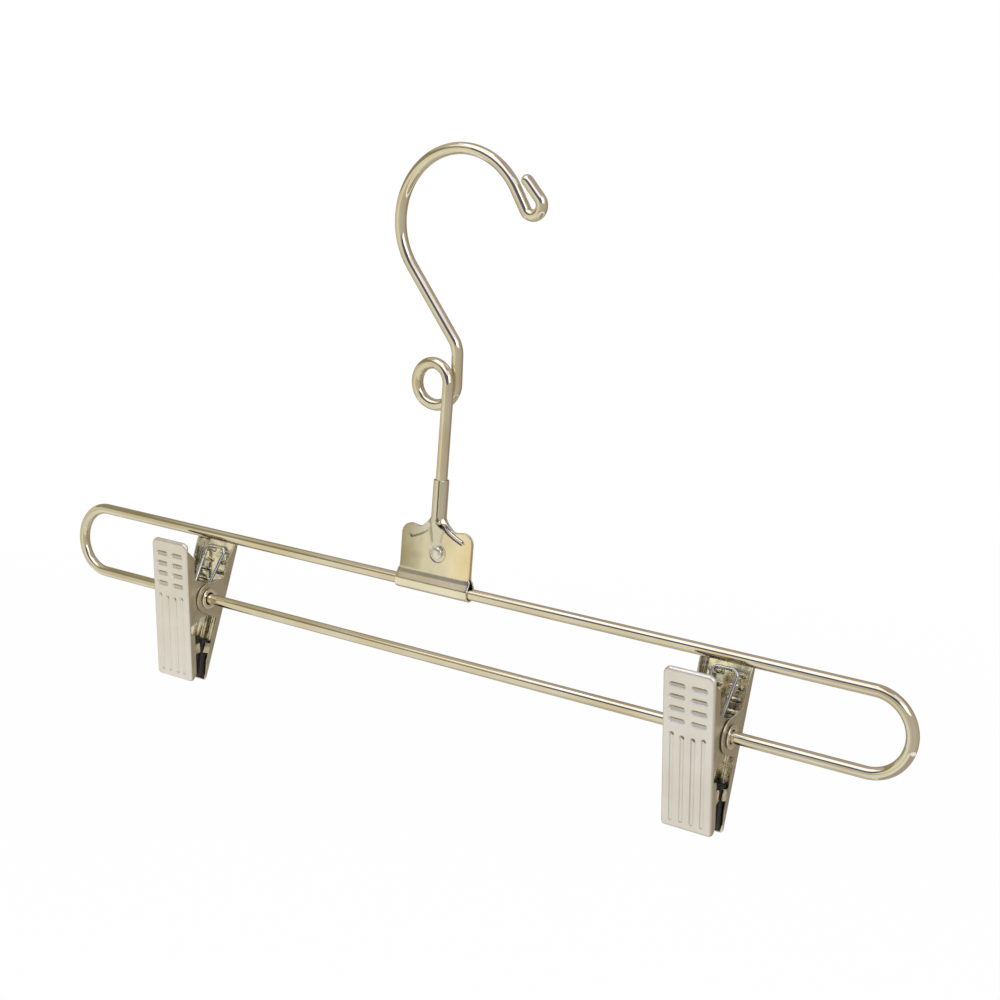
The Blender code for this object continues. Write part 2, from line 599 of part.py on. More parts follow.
def pivot_tube(name, parent):
    """Hollow rivet with both ends flared over the ears."""
    neck = CLIP_HALF + SEAT_CLEAR
    end = neck + TUBE_FLARE_THICK
    flare_r = TUBE_R + TUBE_FLARE
    edge = TUBE_FLARE_THICK / 3
    profile = [(TUBE_BORE_R, -end + TUBE_WALL), (TUBE_BORE_R, end - TUBE_WALL)]
    profile += [(TUBE_BORE_R + TUBE_WALL / 2, end)]
    profile += [(flare_r, end), (flare_r, neck + edge), (flare_r - edge, neck), (TUBE_R, neck)]
    profile += [(r, -x) for r, x in reversed(profile[2:])]
    place_mesh(name, turned(profile, "X"), TUBE_BRIGHT, parent)


def rounded(before, corner, after, radius, steps):
    """Points of a round bend where two straight runs of wire meet."""
    back = (before - corner).normalized()
    on = (after - corner).normalized()
    half_angle = back.angle(on) / 2
    middle = corner + (back + on).normalized() * radius / math.sin(half_angle)
    start = corner + back * radius / math.tan(half_angle) - middle
    end = corner + on * radius / math.tan(half_angle) - middle
    return [middle + start.slerp(end, i / steps) * radius for i in range(steps + 1)]


def least_gap(points, radius):
    """Smallest clear distance between stretches of a wire that aren't neighbours, measured on its points."""
    along = [0.0]
    for first, second in zip(points, points[1:]):
        along.append(along[-1] + (second - first).length)
    least = math.inf
    for i, first in enumerate(points):
        for j in range(i + 1, len(points)):
            if along[j] - along[i] > SPRING_APART * radius:
                least = min(least, (points[j] - first).length - 2 * radius)
    return least


def torsion_spring(name, parent):
    """Two coils round the rivet, joined by a bridge on the rear handle, with legs on the front one."""
    off_face = JAW_SHEET + SEAT_CLEAR + SPRING_WIRE_R
    lie = Vector((math.cos(JAW_ANGLE), -math.sin(JAW_ANGLE)))
    rise = Vector((math.sin(JAW_ANGLE), math.cos(JAW_ANGLE)))
    bridge = (JAW_FACE - off_face) * lie + SPRING_BRIDGE_HEIGHT * rise
    leg = (JAW_FACE - off_face) * lie + SPRING_LEG_HEIGHT * rise
    start = tangent_angle(bridge, SPRING_COIL_R, -1)
    end = math.pi - tangent_angle(leg, SPRING_COIL_R, -1)
    sweep = (start - end) % math.tau + SPRING_FULL_TURNS * math.tau
    curls = round(sweep / math.tau * CURL_POINTS)
    coil_start = SPRING_COIL_END - SPRING_PITCH * sweep / math.tau
    coil = []
    for i in range(curls + 1):
        angle = start - sweep * i / curls
        x = coil_start + (SPRING_COIL_END - coil_start) * i / curls
        coil.append(Vector((x, SPRING_COIL_R * math.cos(angle), SPRING_COIL_R * math.sin(angle))))
    corner = Vector((coil_start + SPRING_BRIDGE_SPREAD, *bridge))
    across = Vector((0, *bridge))
    half = rounded(across, corner, coil[0], SPRING_CORNER_R, SPRING_CORNER_STEPS) + coil
    half.append(Vector((coil[-1].x, -leg.x, leg.y)))
    mirrored = [Vector((-p.x, p.y, p.z)) for p in reversed(half)]
    route = mirrored + half
    print(f"{name}: least gap to itself {least_gap(route, SPRING_WIRE_R) * 1000:.2f} mm")
    wire(name, [tuple(p) for p in route], SPRING_WIRE_R, SPRING_STEEL, parent, level=1)


def clip(side, place_x, lean):
    """One clip: both jaws, pads and the spring turn on the hollow rivet, which slides on the lower wire."""
    axis = bpy.data.objects.new(f"{side}_clip_axis", None)
    bpy.context.scene.collection.objects.link(axis)
    axis.location = (place_x, 0, LOWER_Z)
    axis.rotation_euler = (lean, 0, 0)
    front_turn = (JAW_ANGLE, 0, 0)
    rear_turn = (JAW_ANGLE, 0, math.pi)
    jaw(f"{side}_front_jaw", axis, front_turn, -JAW_OFFSET, low_start())
    jaw(f"{side}_rear_jaw", axis, rear_turn, JAW_OFFSET, round_start())
    pad(f"{side}_front_pad", axis, front_turn, -JAW_OFFSET)
    pad(f"{side}_rear_pad", axis, rear_turn, JAW_OFFSET)
    pivot_tube(f"{side}_pivot_tube", axis)
    torsion_spring(f"{side}_torsion_spring", axis)


frame_loop()
hook()
saddle()
saddle_rivet()
clip("right", RIGHT_CLIP_X, RIGHT_LEAN)
clip("left", LEFT_CLIP_X, LEFT_LEAN)
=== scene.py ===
"""Clip hanger: the looks of every piece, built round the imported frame. Metres, in the CAD's own frame."""

import math

import bmesh
import bpy
import numpy as np
from mathutils import Matrix, Vector


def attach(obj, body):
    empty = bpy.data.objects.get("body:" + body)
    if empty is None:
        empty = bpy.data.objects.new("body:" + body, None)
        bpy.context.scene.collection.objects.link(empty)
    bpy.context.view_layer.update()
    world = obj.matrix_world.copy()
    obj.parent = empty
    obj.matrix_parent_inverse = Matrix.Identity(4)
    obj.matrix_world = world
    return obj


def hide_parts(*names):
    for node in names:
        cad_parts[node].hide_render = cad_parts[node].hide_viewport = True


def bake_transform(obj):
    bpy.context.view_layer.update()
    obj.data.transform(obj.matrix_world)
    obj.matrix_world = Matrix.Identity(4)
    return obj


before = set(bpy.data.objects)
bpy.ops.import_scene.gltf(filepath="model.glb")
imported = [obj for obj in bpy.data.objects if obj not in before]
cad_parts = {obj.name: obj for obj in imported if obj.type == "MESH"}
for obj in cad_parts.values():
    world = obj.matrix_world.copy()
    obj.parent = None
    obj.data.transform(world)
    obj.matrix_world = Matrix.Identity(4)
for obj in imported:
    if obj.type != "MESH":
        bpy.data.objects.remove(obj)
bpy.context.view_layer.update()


# ----------------------------------------------------------------------
# Wire loop
# One length of 4.1 mm steel wire, bent to a long flat loop and plated bright, a little warm in tone. Its two
# ends butt inside the saddle, and the clips slide on its lower run.
WIRE_R = 0.00205
LOOP_LENGTH = 0.3561
LOOP_HEIGHT = 0.0302
RAIL_Z = -0.1501
BUTT_GAP = 0.0006
LOOP_RADIUS = LOOP_HEIGHT / 2 - WIRE_R
LOOP_RUN_HALF = LOOP_LENGTH / 2 - LOOP_HEIGHT / 2
LOWER_Z = RAIL_Z - 2 * LOOP_RADIUS
WIRE_SIDES = 40
RUN_STEPS = 40
END_STEPS = 48
CHROME = (0.82, 0.77, 0.64)
CHROME_WORN = (0.74, 0.67, 0.50)


def new_finish(name):
    """A new finish, with its nodes and links."""
    made = bpy.data.materials.new(name)
    made.use_nodes = True
    return made, made.node_tree.nodes, made.node_tree.links


def add_node(nodes, kind, inputs=None, **settings):
    """A new node of that kind, with its settings and the values of its inputs."""
    made = nodes.new(kind)
    for key, value in settings.items():
        setattr(made, key, value)
    for key, value in (inputs or {}).items():
        made.inputs[key].default_value = value
    return made


def tone_run(nodes, tones):
    """A node with a run of tones, each at its place between zero and one."""
    run = nodes.new("ShaderNodeValToRGB")
    for spot, _ in tones[1:-1]:
        run.color_ramp.elements.new(spot)
    for element, (spot, tone) in zip(run.color_ramp.elements, tones):
        element.position = spot
        element.color = (*tone, 1)
    return run


def clouds(nodes, links, where, scale, detail):
    """How strong a cloudy noise is at each spot. The larger its scale, the smaller its clouds."""
    noise = add_node(nodes, "ShaderNodeTexNoise", {"Scale": scale, "Detail": detail})
    links.new(where, noise.inputs["Vector"])
    return noise.outputs["Fac"]


def metal_finish(name, bright, wear_and_painted_shade, patch, rough, grain, depth, drawn=(1, 1, 1)):
    """Metal that varies in tone over patches, with a fine grain that may be stretched along the piece. The
    patches' darker tone is wear on some finishes and painted shade on others.
    """
    made, nodes, links = new_finish(name)
    shader = nodes["Principled BSDF"]
    shader.inputs["Metallic"].default_value = 1.0
    place = nodes.new("ShaderNodeTexCoord")
    stretch = add_node(nodes, "ShaderNodeMapping", {"Scale": drawn})
    links.new(place.outputs["Object"], stretch.inputs["Vector"])

    tone = tone_run(nodes, ((0.36, wear_and_painted_shade), (0.58, bright)))
    links.new(clouds(nodes, links, place.outputs["Object"], 1 / patch, 4), tone.inputs["Fac"])
    links.new(tone.outputs["Color"], shader.inputs["Base Color"])

    fine = clouds(nodes, links, stretch.outputs["Vector"], 1 / grain, 3)
    gloss = add_node(nodes, "ShaderNodeMapRange",
                     {"From Min": 0.3, "From Max": 0.7, "To Min": rough[0], "To Max": rough[1]})
    links.new(fine, gloss.inputs["Value"])
    links.new(gloss.outputs["Result"], shader.inputs["Roughness"])
    relief = add_node(nodes, "ShaderNodeBump", {"Strength": 1.0, "Distance": depth})
    links.new(fine, relief.inputs["Height"])
    links.new(relief.outputs["Normal"], shader.inputs["Normal"])
    return made


def placed(name, data):
    """A new object in the scene."""
    made = bpy.data.objects.new(name, data)
    bpy.context.scene.collection.objects.link(made)
    return made


def bend(centre, radius, start, end, steps):
    """Points round a bend in the X-Z plane, both ends included."""
    angles = [start + (end - start) * i / steps for i in range(steps + 1)]
    return [(centre[0] + radius * math.cos(a), centre[1] + radius * math.sin(a)) for a in angles]


def drawn_wire_tree():
    """Nodes that draw round wire along a line of points, thicker or thinner by the line's own swell."""
    tree = bpy.data.node_groups.new("drawn_wire", "GeometryNodeTree")
    tree.is_modifier = True
    face = tree.interface
    for label, kind in (("Line", "Geometry"), ("Wire radius", "Float"), ("Sides", "Int"),
                        ("Finish", "Material")):
        face.new_socket(label, in_out="INPUT", socket_type=f"NodeSocket{kind}")
    face.new_socket("Wire", in_out="OUTPUT", socket_type="NodeSocketGeometry")
    nodes = tree.nodes
    given = nodes.new("NodeGroupInput")
    line = nodes.new("GeometryNodeMeshToCurve")
    section = nodes.new("GeometryNodeCurvePrimitiveCircle")
    swell = add_node(nodes, "GeometryNodeInputNamedAttribute", {"Name": "swell"}, data_type="FLOAT")
    draw = add_node(nodes, "GeometryNodeCurveToMesh", {"Fill Caps": True})
    smooth = nodes.new("GeometryNodeSetShadeSmooth")
    whole = nodes.new("GeometryNodeRealizeInstances")
    coat = nodes.new("GeometryNodeSetMaterial")
    made = nodes.new("NodeGroupOutput")
    for first, out, last, into in (
            (given, "Line", line, "Mesh"), (given, "Sides", section, "Resolution"),
            (given, "Wire radius", section, "Radius"), (line, "Curve", draw, "Curve"),
            (section, "Curve", draw, "Profile Curve"), (swell, "Attribute", draw, "Scale"),
            (draw, "Mesh", smooth, "Geometry"), (smooth, "Geometry", whole, "Geometry"),
            (whole, "Geometry", coat, "Geometry"), (given, "Finish", coat, "Material"),
            (coat, "Geometry", made, "Wire")):
        tree.links.new(first.outputs[out], last.inputs[into])
    return tree


DRAWN_WIRE = drawn_wire_tree()


def drawn_wire(name, points, radius, sides, finish, swell=None):
    """Wire along the points, with closed ends, as a plain mesh."""
    mesh = bpy.data.meshes.new(name)
    mesh.from_pydata([tuple(p) for p in points], [(i, i + 1) for i in range(len(points) - 1)], [])
    mesh.attributes.new("swell", "FLOAT", "POINT").data.foreach_set("value", swell or [1.0] * len(points))
    piece = placed(name, mesh)
    draw = piece.modifiers.new("drawn_wire", "NODES")
    draw.node_group = DRAWN_WIRE
    sockets = {item.name: item.identifier for item in DRAWN_WIRE.interface.items_tree}
    draw[sockets["Wire radius"]] = radius
    draw[sockets["Sides"]] = sides
    draw[sockets["Finish"]] = finish
    seen = piece.evaluated_get(bpy.context.evaluated_depsgraph_get())
    solid = bpy.data.meshes.new_from_object(seen)
    piece.modifiers.clear()
    piece.data = solid
    return piece


def runs(start, end, steps):
    """Points of a straight run between two points of the X-Z plane, without its last."""
    return [(start[0] + (end[0] - start[0]) * i / steps, start[1] + (end[1] - start[1]) * i / steps)
            for i in range(steps)]


wire_chrome = metal_finish("wire_chrome", CHROME, CHROME_WORN, patch=0.03, rough=(0.02, 0.06), grain=0.0012,
                           depth=0.0000008, drawn=(0.12, 1, 1))
right_end = bend((LOOP_RUN_HALF, RAIL_Z - LOOP_RADIUS), LOOP_RADIUS, math.pi / 2, -math.pi / 2, END_STEPS)
half_loop = runs((BUTT_GAP / 2, RAIL_Z), right_end[0], RUN_STEPS) + right_end
half_loop += runs(right_end[-1], (0, LOWER_Z), RUN_STEPS)[1:] + [(0, LOWER_Z)]
route = half_loop + [(-x, z) for x, z in reversed(half_loop[:-1])]
loop = drawn_wire("wire_loop", [(x, 0, z) for x, z in route], WIRE_R, WIRE_SIDES, wire_chrome)
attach(loop, "frame")
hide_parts("frame_loop")


# ----------------------------------------------------------------------
# Saddle
# One sheet of bright plated steel, folded over the loop's upper run and riveted through both plates. Each
# plate ends in a half-round tab, and the two tabs close on the hook's shank, parted by a seam and a slit.
SHEET = 0.0007
SADDLE_HALF = 0.0155
PLATE_INSET = 0.0005
PLATE_IN = 0.00015
PLATE_OUT = PLATE_IN + SHEET
BORE_R = WIRE_R + 0.0002
BARREL_R = BORE_R + SHEET
CREASE_HEIGHT = 0.0048
CREASE_SOFT = 0.0010
SHOULDER_HEIGHT = 0.0211
SHOULDER_R = 0.0040
SHOULDER_DIP = 0.0005
SHOULDER_DIP_X = 0.0077
NECK_BASE = RAIL_Z + 0.0244
NECK_TOP = NECK_BASE + 0.0140
NECK_R = 0.00275
NECK_TUCK = 0.0002
RIDGE_LENGTH = 0.0100
RIDGE_TIP_R = 0.0011
RIDGE_FLARE = 0.0003
RIDGE_FLARE_DROP = 0.0012
RIDGE_SOFT = 0.0015
RIDGE_SOFT_TOP = 0.002
RIDGE_SOFT_FADE = 0.003
RIDGE_SOFT_LEAST = 0.05
HOLLOW_FOOT_R = 0.0026
HOLLOW_R = BORE_R - 0.0001
SEAM_TURN = math.radians(15)
SEAM_X = BARREL_R * math.sin(SEAM_TURN)
SEAM_WIDTH = 0.0003
SLIT_MOUTH = 0.0016
SLIT_WIDTH = 0.0008
SLIT_LIP = 0.00045
SLIT_LIP_OFF = 0.0008
SLIT_LIP_REACH = 0.0006
SLIT_BEND = (0.0016, -0.0042)
SLIT_END = (0.0105, -0.0073)
RIVET_X = 0.0009
RIVET_Z = RAIL_Z + 0.0122
RING_R = 0.0030
RING_DEPTH = 0.00028
RING_REACH = 0.00042
EDGE_ROLL = 0.00010
EDGE_ROLL_REACH = 0.0009
STRETCH_DEPTH = 0.00050
STRETCH_REACH = 0.0009
INNER_SINK = 0.00005
PLATE_EDGE_R = 0.00025
NECK_EDGE_R = 0.0002
WALL_EDGE_R = 0.00015
SLIT_EDGE_R = 0.0002
SADDLE_MARGIN = 0.0006
SHEET_CELL = 0.00022
SADDLE_BRIGHT = (0.97, 0.92, 0.80)
SADDLE_WORN = (0.92, 0.86, 0.70)
# Painted reflection on the plates above the crease: darker on the left, a neutral sheen in the middle, warm on
# the right.
SADDLE_PAINTED_REFLECTION = ((0.0, (0.40, 0.37, 0.31)), (0.14, (0.52, 0.51, 0.46)), (0.32, (0.80, 0.81, 0.83)),
                (0.62, (0.84, 0.84, 0.83)), (0.78, (0.97, 0.93, 0.86)), (1.0, (0.96, 0.87, 0.72)))
SHEEN_WANDER_SCALE = 110
SHEEN_WANDER = 0.35
SHEEN_EDGE = 0.0004


def soft_join(first, second, reach):
    """Distance to two forms that run into each other over a reach."""
    near = np.maximum(reach - np.abs(first - second), 0) / reach
    return np.minimum(first, second) - near * near * reach / 4


def soft_cut(first, second, reach):
    """Distance to what two forms have in common, with the edge between them rounded over a reach."""
    return -soft_join(-first, -second, reach)


def line_distance(u, v, line):
    """Distance in a plane to an open line of points."""
    least = np.full(np.broadcast(u, v).shape, np.inf)
    for (a, b), (c, d) in zip(line, line[1:]):
        across, up = c - a, d - b
        share = np.clip(((u - a) * across + (v - b) * up) / (across * across + up * up), 0, 1)
        least = np.minimum(least, (u - a - share * across) ** 2 + (v - b - share * up) ** 2)
    return np.sqrt(least)


def outline_distance(u, v, outline):
    """Distance in a plane to a closed outline, under zero inside it."""
    line = outline + outline[:1]
    inside = np.zeros(np.broadcast(u, v).shape, bool)
    for (a, b), (c, d) in zip(line, line[1:]):
        if d != b:
            inside ^= ((v < b) != (v < d)) & (u < a + (c - a) * (v - b) / (d - b))
    return line_distance(u, v, line) * np.where(inside, -1, 1)


def pressed_skin(distance, low, high, cell):
    """Points, faces and normals of the skin round all spots whose distance is under zero."""
    axes = [np.arange(a - cell, b + 2 * cell, cell) for a, b in zip(low, high)]
    field = distance(axes[0][:, None, None], axes[1][None, :, None], axes[2][None, None, :])
    inside = field < 0
    corner = [(i, j, k) for i in (0, 1) for j in (0, 1) for k in (0, 1)]
    shape = [n - 1 for n in inside.shape]
    full = sum(inside[i:i + shape[0], j:j + shape[1], k:k + shape[2]].astype(np.int8) for i, j, k in corner)
    cells = np.argwhere((full > 0) & (full < 8))
    number = np.full(shape, -1)
    number[tuple(cells.T)] = np.arange(len(cells))

    # Each crossed cell gets one point, at the middle of where the form crosses the cell's edges
    total = np.zeros((len(cells), 3))
    count = np.zeros(len(cells))
    for a in corner:
        for axis in range(3):
            if a[axis]:
                continue
            b = list(a)
            b[axis] = 1
            first = field[tuple((cells + a).T)]
            last = field[tuple((cells + b).T)]
            crossed = (first < 0) != (last < 0)
            share = np.where(crossed, first / np.where(crossed, first - last, 1), 0)
            spot = np.tile(np.array(a, float), (len(cells), 1))
            spot[:, axis] += share
            total += spot * crossed[:, None]
            count += crossed
    origin = np.array([axis[0] for axis in axes])
    points = origin + cell * (cells + total / count[:, None])

    def slope(at):
        step = cell / 20
        parts = []
        for axis in range(3):
            ahead = at.copy()
            back = at.copy()
            ahead[:, axis] += step
            back[:, axis] -= step
            parts.append((distance(*ahead.T) - distance(*back.T)) / (2 * step))
        return np.stack(parts, 1)

    for _ in range(4):
        way = slope(points)
        size = np.maximum((way * way).sum(1), 0.2)
        step = np.clip(distance(*points.T) / size, -cell / 2, cell / 2)
        points = points - way * step[:, None]

    quads = []
    for axis in range(3):
        one, two = (axis + 1) % 3, (axis + 2) % 3
        ahead = [slice(None)] * 3
        back = [slice(None)] * 3
        ahead[axis] = slice(1, None)
        back[axis] = slice(None, -1)
        leaves = inside[tuple(back)] & ~inside[tuple(ahead)]
        enters = ~inside[tuple(back)] & inside[tuple(ahead)]
        for where, order in ((leaves, (0, 1, 2, 3)), (enters, (3, 2, 1, 0))):
            spots = np.argwhere(where)
            around = []
            for da, db in ((-1, -1), (0, -1), (0, 0), (-1, 0)):
                near = spots.copy()
                near[:, one] += da
                near[:, two] += db
                around.append(number[tuple(near.T)])
            quads.append(np.stack([around[i] for i in order], 1))
    quads = np.concatenate(quads)

    normals = slope(points)
    return points, quads, normals / np.linalg.norm(normals, axis=1, keepdims=True)


def pressed_piece(name, skin, finishes, turn=None, sort=None):
    """A piece with that skin, turned to its place. For each face, sort tells which finish it has."""
    points, quads, normals = skin
    place = np.array(turn) if turn else np.eye(4)
    mesh = bpy.data.meshes.new(name)
    mesh.from_pydata((points @ place[:3, :3].T + place[:3, 3]).tolist(), [], quads.tolist())
    for finish in finishes:
        mesh.materials.append(finish)
    if sort:
        middles = points[quads].mean(1)
        mesh.polygons.foreach_set("material_index", sort(*middles.T).astype(np.int32))
    mesh.shade_smooth()
    mesh.normals_split_custom_set_from_vertices((normals @ place[:3, :3].T).tolist())
    mesh.update()
    return placed(name, mesh)


def barrel_section(y, z, radius, flat):
    """End view of the round barrel with its two sides drawn in to the plates."""
    far = math.hypot(flat, CREASE_HEIGHT)
    touch = math.atan2(CREASE_HEIGHT, flat) - math.acos(radius / far)
    straight = (y - flat) * math.cos(touch) + (z - CREASE_HEIGHT) * math.sin(touch)
    barrel = np.where(np.arctan2(z, y) > touch, straight, np.hypot(y, z) - radius)
    return soft_join(barrel, np.maximum(y - flat, -z), CREASE_SOFT)


def plates_outline():
    """Front view of the plates: round shoulders that dip and then rise to the neck."""
    half = SADDLE_HALF - PLATE_INSET
    crease = RAIL_Z + CREASE_HEIGHT
    top = RAIL_Z + SHOULDER_HEIGHT
    right = [(SADDLE_HALF, RAIL_Z - 2 * BARREL_R), (SADDLE_HALF, crease - SHEET), (half, crease)]
    right += bend((half - SHOULDER_R, top - SHOULDER_R), SHOULDER_R, 0, math.pi / 2, 16)
    right += [(SHOULDER_DIP_X, top - SHOULDER_DIP), (SHOULDER_DIP_X - 2 * SHEET, top)]
    right += [(NECK_R + SHEET, NECK_BASE - SHEET), (NECK_R - NECK_TUCK, NECK_BASE + SHEET / 2)]
    return right + [(-x, z) for x, z in reversed(right)]


def slit_line():
    """The seam's line down the neck and the slit's curve across the shoulder."""
    turn = (SEAM_X, NECK_BASE + 2 * SHEET)
    middle = (SLIT_BEND[0], NECK_BASE + SLIT_BEND[1])
    end = (SLIT_END[0], NECK_BASE + SLIT_END[1])
    curve = []
    for i in range(13):
        t = i / 12
        curve.append(tuple((1 - t) ** 2 * a + 2 * t * (1 - t) * b + t * t * c
                           for a, b, c in zip(turn, middle, end)))
    return [(SEAM_X, NECK_TOP + SHEET)] + curve


PLATES = plates_outline()
SLIT = slit_line()
RIDGE_HEIGHTS = [NECK_BASE - RIDGE_LENGTH, NECK_BASE - RIDGE_FLARE_DROP, NECK_BASE + SHEET, NECK_TOP + SHEET]
RIDGE_RADII = [RIDGE_TIP_R, NECK_R + RIDGE_FLARE, NECK_R, NECK_R]
HOLLOW_RADII = [PLATE_IN, HOLLOW_FOOT_R, HOLLOW_R, HOLLOW_R]


def slit_distance(x, z):
    """Distance to the seam and slit, which are widest at the neck's foot."""
    drop = np.clip((NECK_BASE - z) / -SLIT_END[1], 0, 1)
    below = np.clip((NECK_BASE + SHEET - z) / (2 * SHEET), 0, 1)
    wide = SEAM_WIDTH + below * (SLIT_MOUTH + (SLIT_WIDTH - SLIT_MOUTH) * drop - SEAM_WIDTH)
    return line_distance(x, z, SLIT) - wide / 2


def saddle_distance(x, y, z):
    """The folded sheet: what lies inside its outer skin and outside its inner one."""
    side = np.where(y < 0, 1.0, -1.0)
    edge = outline_distance(x, z, PLATES)
    ring = np.hypot(x - RIVET_X, z - RIVET_Z)
    sunk = RING_DEPTH * np.exp(-((ring - RING_R) / RING_REACH) ** 2)
    sunk = sunk + EDGE_ROLL * np.exp(np.minimum(edge, 0) / EDGE_ROLL_REACH)
    stretched = line_distance(-x * side, z, SLIT[4:])
    sunk = sunk + STRETCH_DEPTH * np.exp(-(stretched / STRETCH_REACH) ** 2)
    above = z - np.interp(x * side, [spot for spot, _ in SLIT[1:]], [height for _, height in SLIT[1:]])
    curled = (line_distance(x * side, z, SLIT[3:]) - SLIT_LIP_OFF) / SLIT_LIP_REACH
    sunk = sunk - SLIT_LIP * np.exp(-curled ** 2) * (above > 0)
    away = np.abs(y) + sunk
    height = z - RAIL_Z
    plates = soft_cut(barrel_section(away, height, BARREL_R, PLATE_OUT), edge, PLATE_EDGE_R)
    gap = barrel_section(np.abs(y) + np.minimum(sunk, INNER_SINK), height, BORE_R, PLATE_IN)
    gap = np.maximum(gap, z - NECK_BASE)
    around = np.hypot(x, y)
    ridge = around - np.interp(z, RIDGE_HEIGHTS, RIDGE_RADII)
    ridge = soft_cut(ridge, np.maximum(z - NECK_TOP, RIDGE_HEIGHTS[0] - z), NECK_EDGE_R)
    hollow = np.maximum(around - np.interp(z, RIDGE_HEIGHTS, HOLLOW_RADII), RIDGE_HEIGHTS[0] - z)
    foot = np.clip((NECK_BASE + RIDGE_SOFT_TOP - z) / RIDGE_SOFT_FADE, RIDGE_SOFT_LEAST, 1)
    skin = soft_join(plates, ridge, RIDGE_SOFT * foot)
    inside = soft_join(gap, hollow, RIDGE_SOFT / 2 * foot)
    wall = soft_cut(skin, -inside, WALL_EDGE_R)
    return soft_cut(wall, -slit_distance(x * side, z), SLIT_EDGE_R)


saddle_plate = metal_finish("saddle_plate", SADDLE_BRIGHT, SADDLE_WORN, patch=0.011, rough=(0.10, 0.20),
                            grain=0.0006, depth=0.000002)


def paint_reflection_across(finish, tones, low, high, above):
    """Paints reflection into a finish: a run of tones across the piece's X, with a wandering edge, above a
    height.
    """
    nodes, links = finish.node_tree.nodes, finish.node_tree.links
    shader = nodes["Principled BSDF"]
    plain = shader.inputs["Base Color"].links[0].from_socket
    place = nodes.new("ShaderNodeTexCoord")
    parts = nodes.new("ShaderNodeSeparateXYZ")
    links.new(place.outputs["Object"], parts.inputs["Vector"])
    wander = clouds(nodes, links, place.outputs["Object"], SHEEN_WANDER_SCALE, 2)
    reach = (high - low) * SHEEN_WANDER
    shift = add_node(nodes, "ShaderNodeMath", {1: reach}, operation="MULTIPLY_ADD")
    links.new(wander, shift.inputs[0])
    links.new(parts.outputs["X"], shift.inputs[2])
    across = add_node(nodes, "ShaderNodeMapRange", {"From Min": low + reach / 2, "From Max": high + reach / 2})
    links.new(shift.outputs[0], across.inputs["Value"])
    run = tone_run(nodes, tones)
    links.new(across.outputs["Result"], run.inputs["Fac"])
    tint = add_node(nodes, "ShaderNodeMix", data_type="RGBA", blend_type="MULTIPLY")
    higher = add_node(nodes, "ShaderNodeMapRange",
                      {"From Min": above - SHEEN_EDGE, "From Max": above + SHEEN_EDGE})
    links.new(parts.outputs["Z"], higher.inputs["Value"])
    links.new(higher.outputs["Result"], tint.inputs["Factor"])
    links.new(plain, tint.inputs["A"])
    links.new(run.outputs["Color"], tint.inputs["B"])
    links.new(tint.outputs["Result"], shader.inputs["Base Color"])


# Painted reflection across the plates above the crease: dark on the left, neutral sheen in the middle, warm on
# the right.
paint_reflection_across(saddle_plate, SADDLE_PAINTED_REFLECTION, -SADDLE_HALF, SADDLE_HALF, RAIL_Z + CREASE_HEIGHT)
saddle_skin = pressed_skin(saddle_distance, (-SADDLE_HALF, -BARREL_R - SADDLE_MARGIN, RAIL_Z - BARREL_R),
                           (SADDLE_HALF, BARREL_R + SADDLE_MARGIN, NECK_TOP), SHEET_CELL)
saddle = pressed_piece("saddle_folded_sheet", saddle_skin, [saddle_plate])
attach(saddle, "frame")
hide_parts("saddle")


# ----------------------------------------------------------------------
# Saddle rivet
# A bright steel rivet through both plates, with a domed head in front and a flat closed tail behind. It was
# set in a press, so its head sits tight on the sheet.
RIVET_SHANK_R = 0.0013
RIVET_HEAD_R = 0.0022
RIVET_HEAD_HEIGHT = 0.0011
RIVET_TAIL_R = 0.0019
RIVET_TAIL_HEIGHT = 0.0005
RIVET_TAIL_ROUND = ((0.0004, 0), (0.0001, 0.00015))
RIVET_PLAY = 0.0001
RIVET_RIM = 0.0002
RIVET_STEPS = 14
TURNED_SHARP = math.radians(40)
RIVET_BRIGHT = (0.88, 0.88, 0.86)
RIVET_WORN = (0.78, 0.77, 0.72)


def built_piece(name, bm, finish, sharp):
    """The built mesh as a piece with its finish, smooth but for edges over an angle."""
    mesh = bpy.data.meshes.new(name)
    bm.to_mesh(mesh)
    bm.free()
    mesh.materials.append(finish)
    mesh.shade_smooth()
    mesh.set_sharp_from_angle(angle=sharp)
    return placed(name, mesh)


def turned(name, profile, steps, finish, turn):
    """A turned piece: its profile of (radius, height) points goes once round the height's axis."""
    bm = bmesh.new()
    points = [bm.verts.new((r, 0, h)) for r, h in profile]
    edges = [bm.edges.new((points[i], points[(i + 1) % len(points)])) for i in range(len(points))]
    bmesh.ops.spin(bm, geom=points + edges, cent=(0, 0, 0), axis=(0, 0, 1), angle=math.tau, steps=steps)
    bmesh.ops.remove_doubles(bm, verts=bm.verts, dist=1e-7)
    bmesh.ops.delete(bm, geom=[edge for edge in bm.edges if not edge.link_faces], context="EDGES")
    bmesh.ops.recalc_face_normals(bm, faces=bm.faces)
    bmesh.ops.transform(bm, matrix=turn, verts=bm.verts)
    return built_piece(name, bm, finish, TURNED_SHARP)


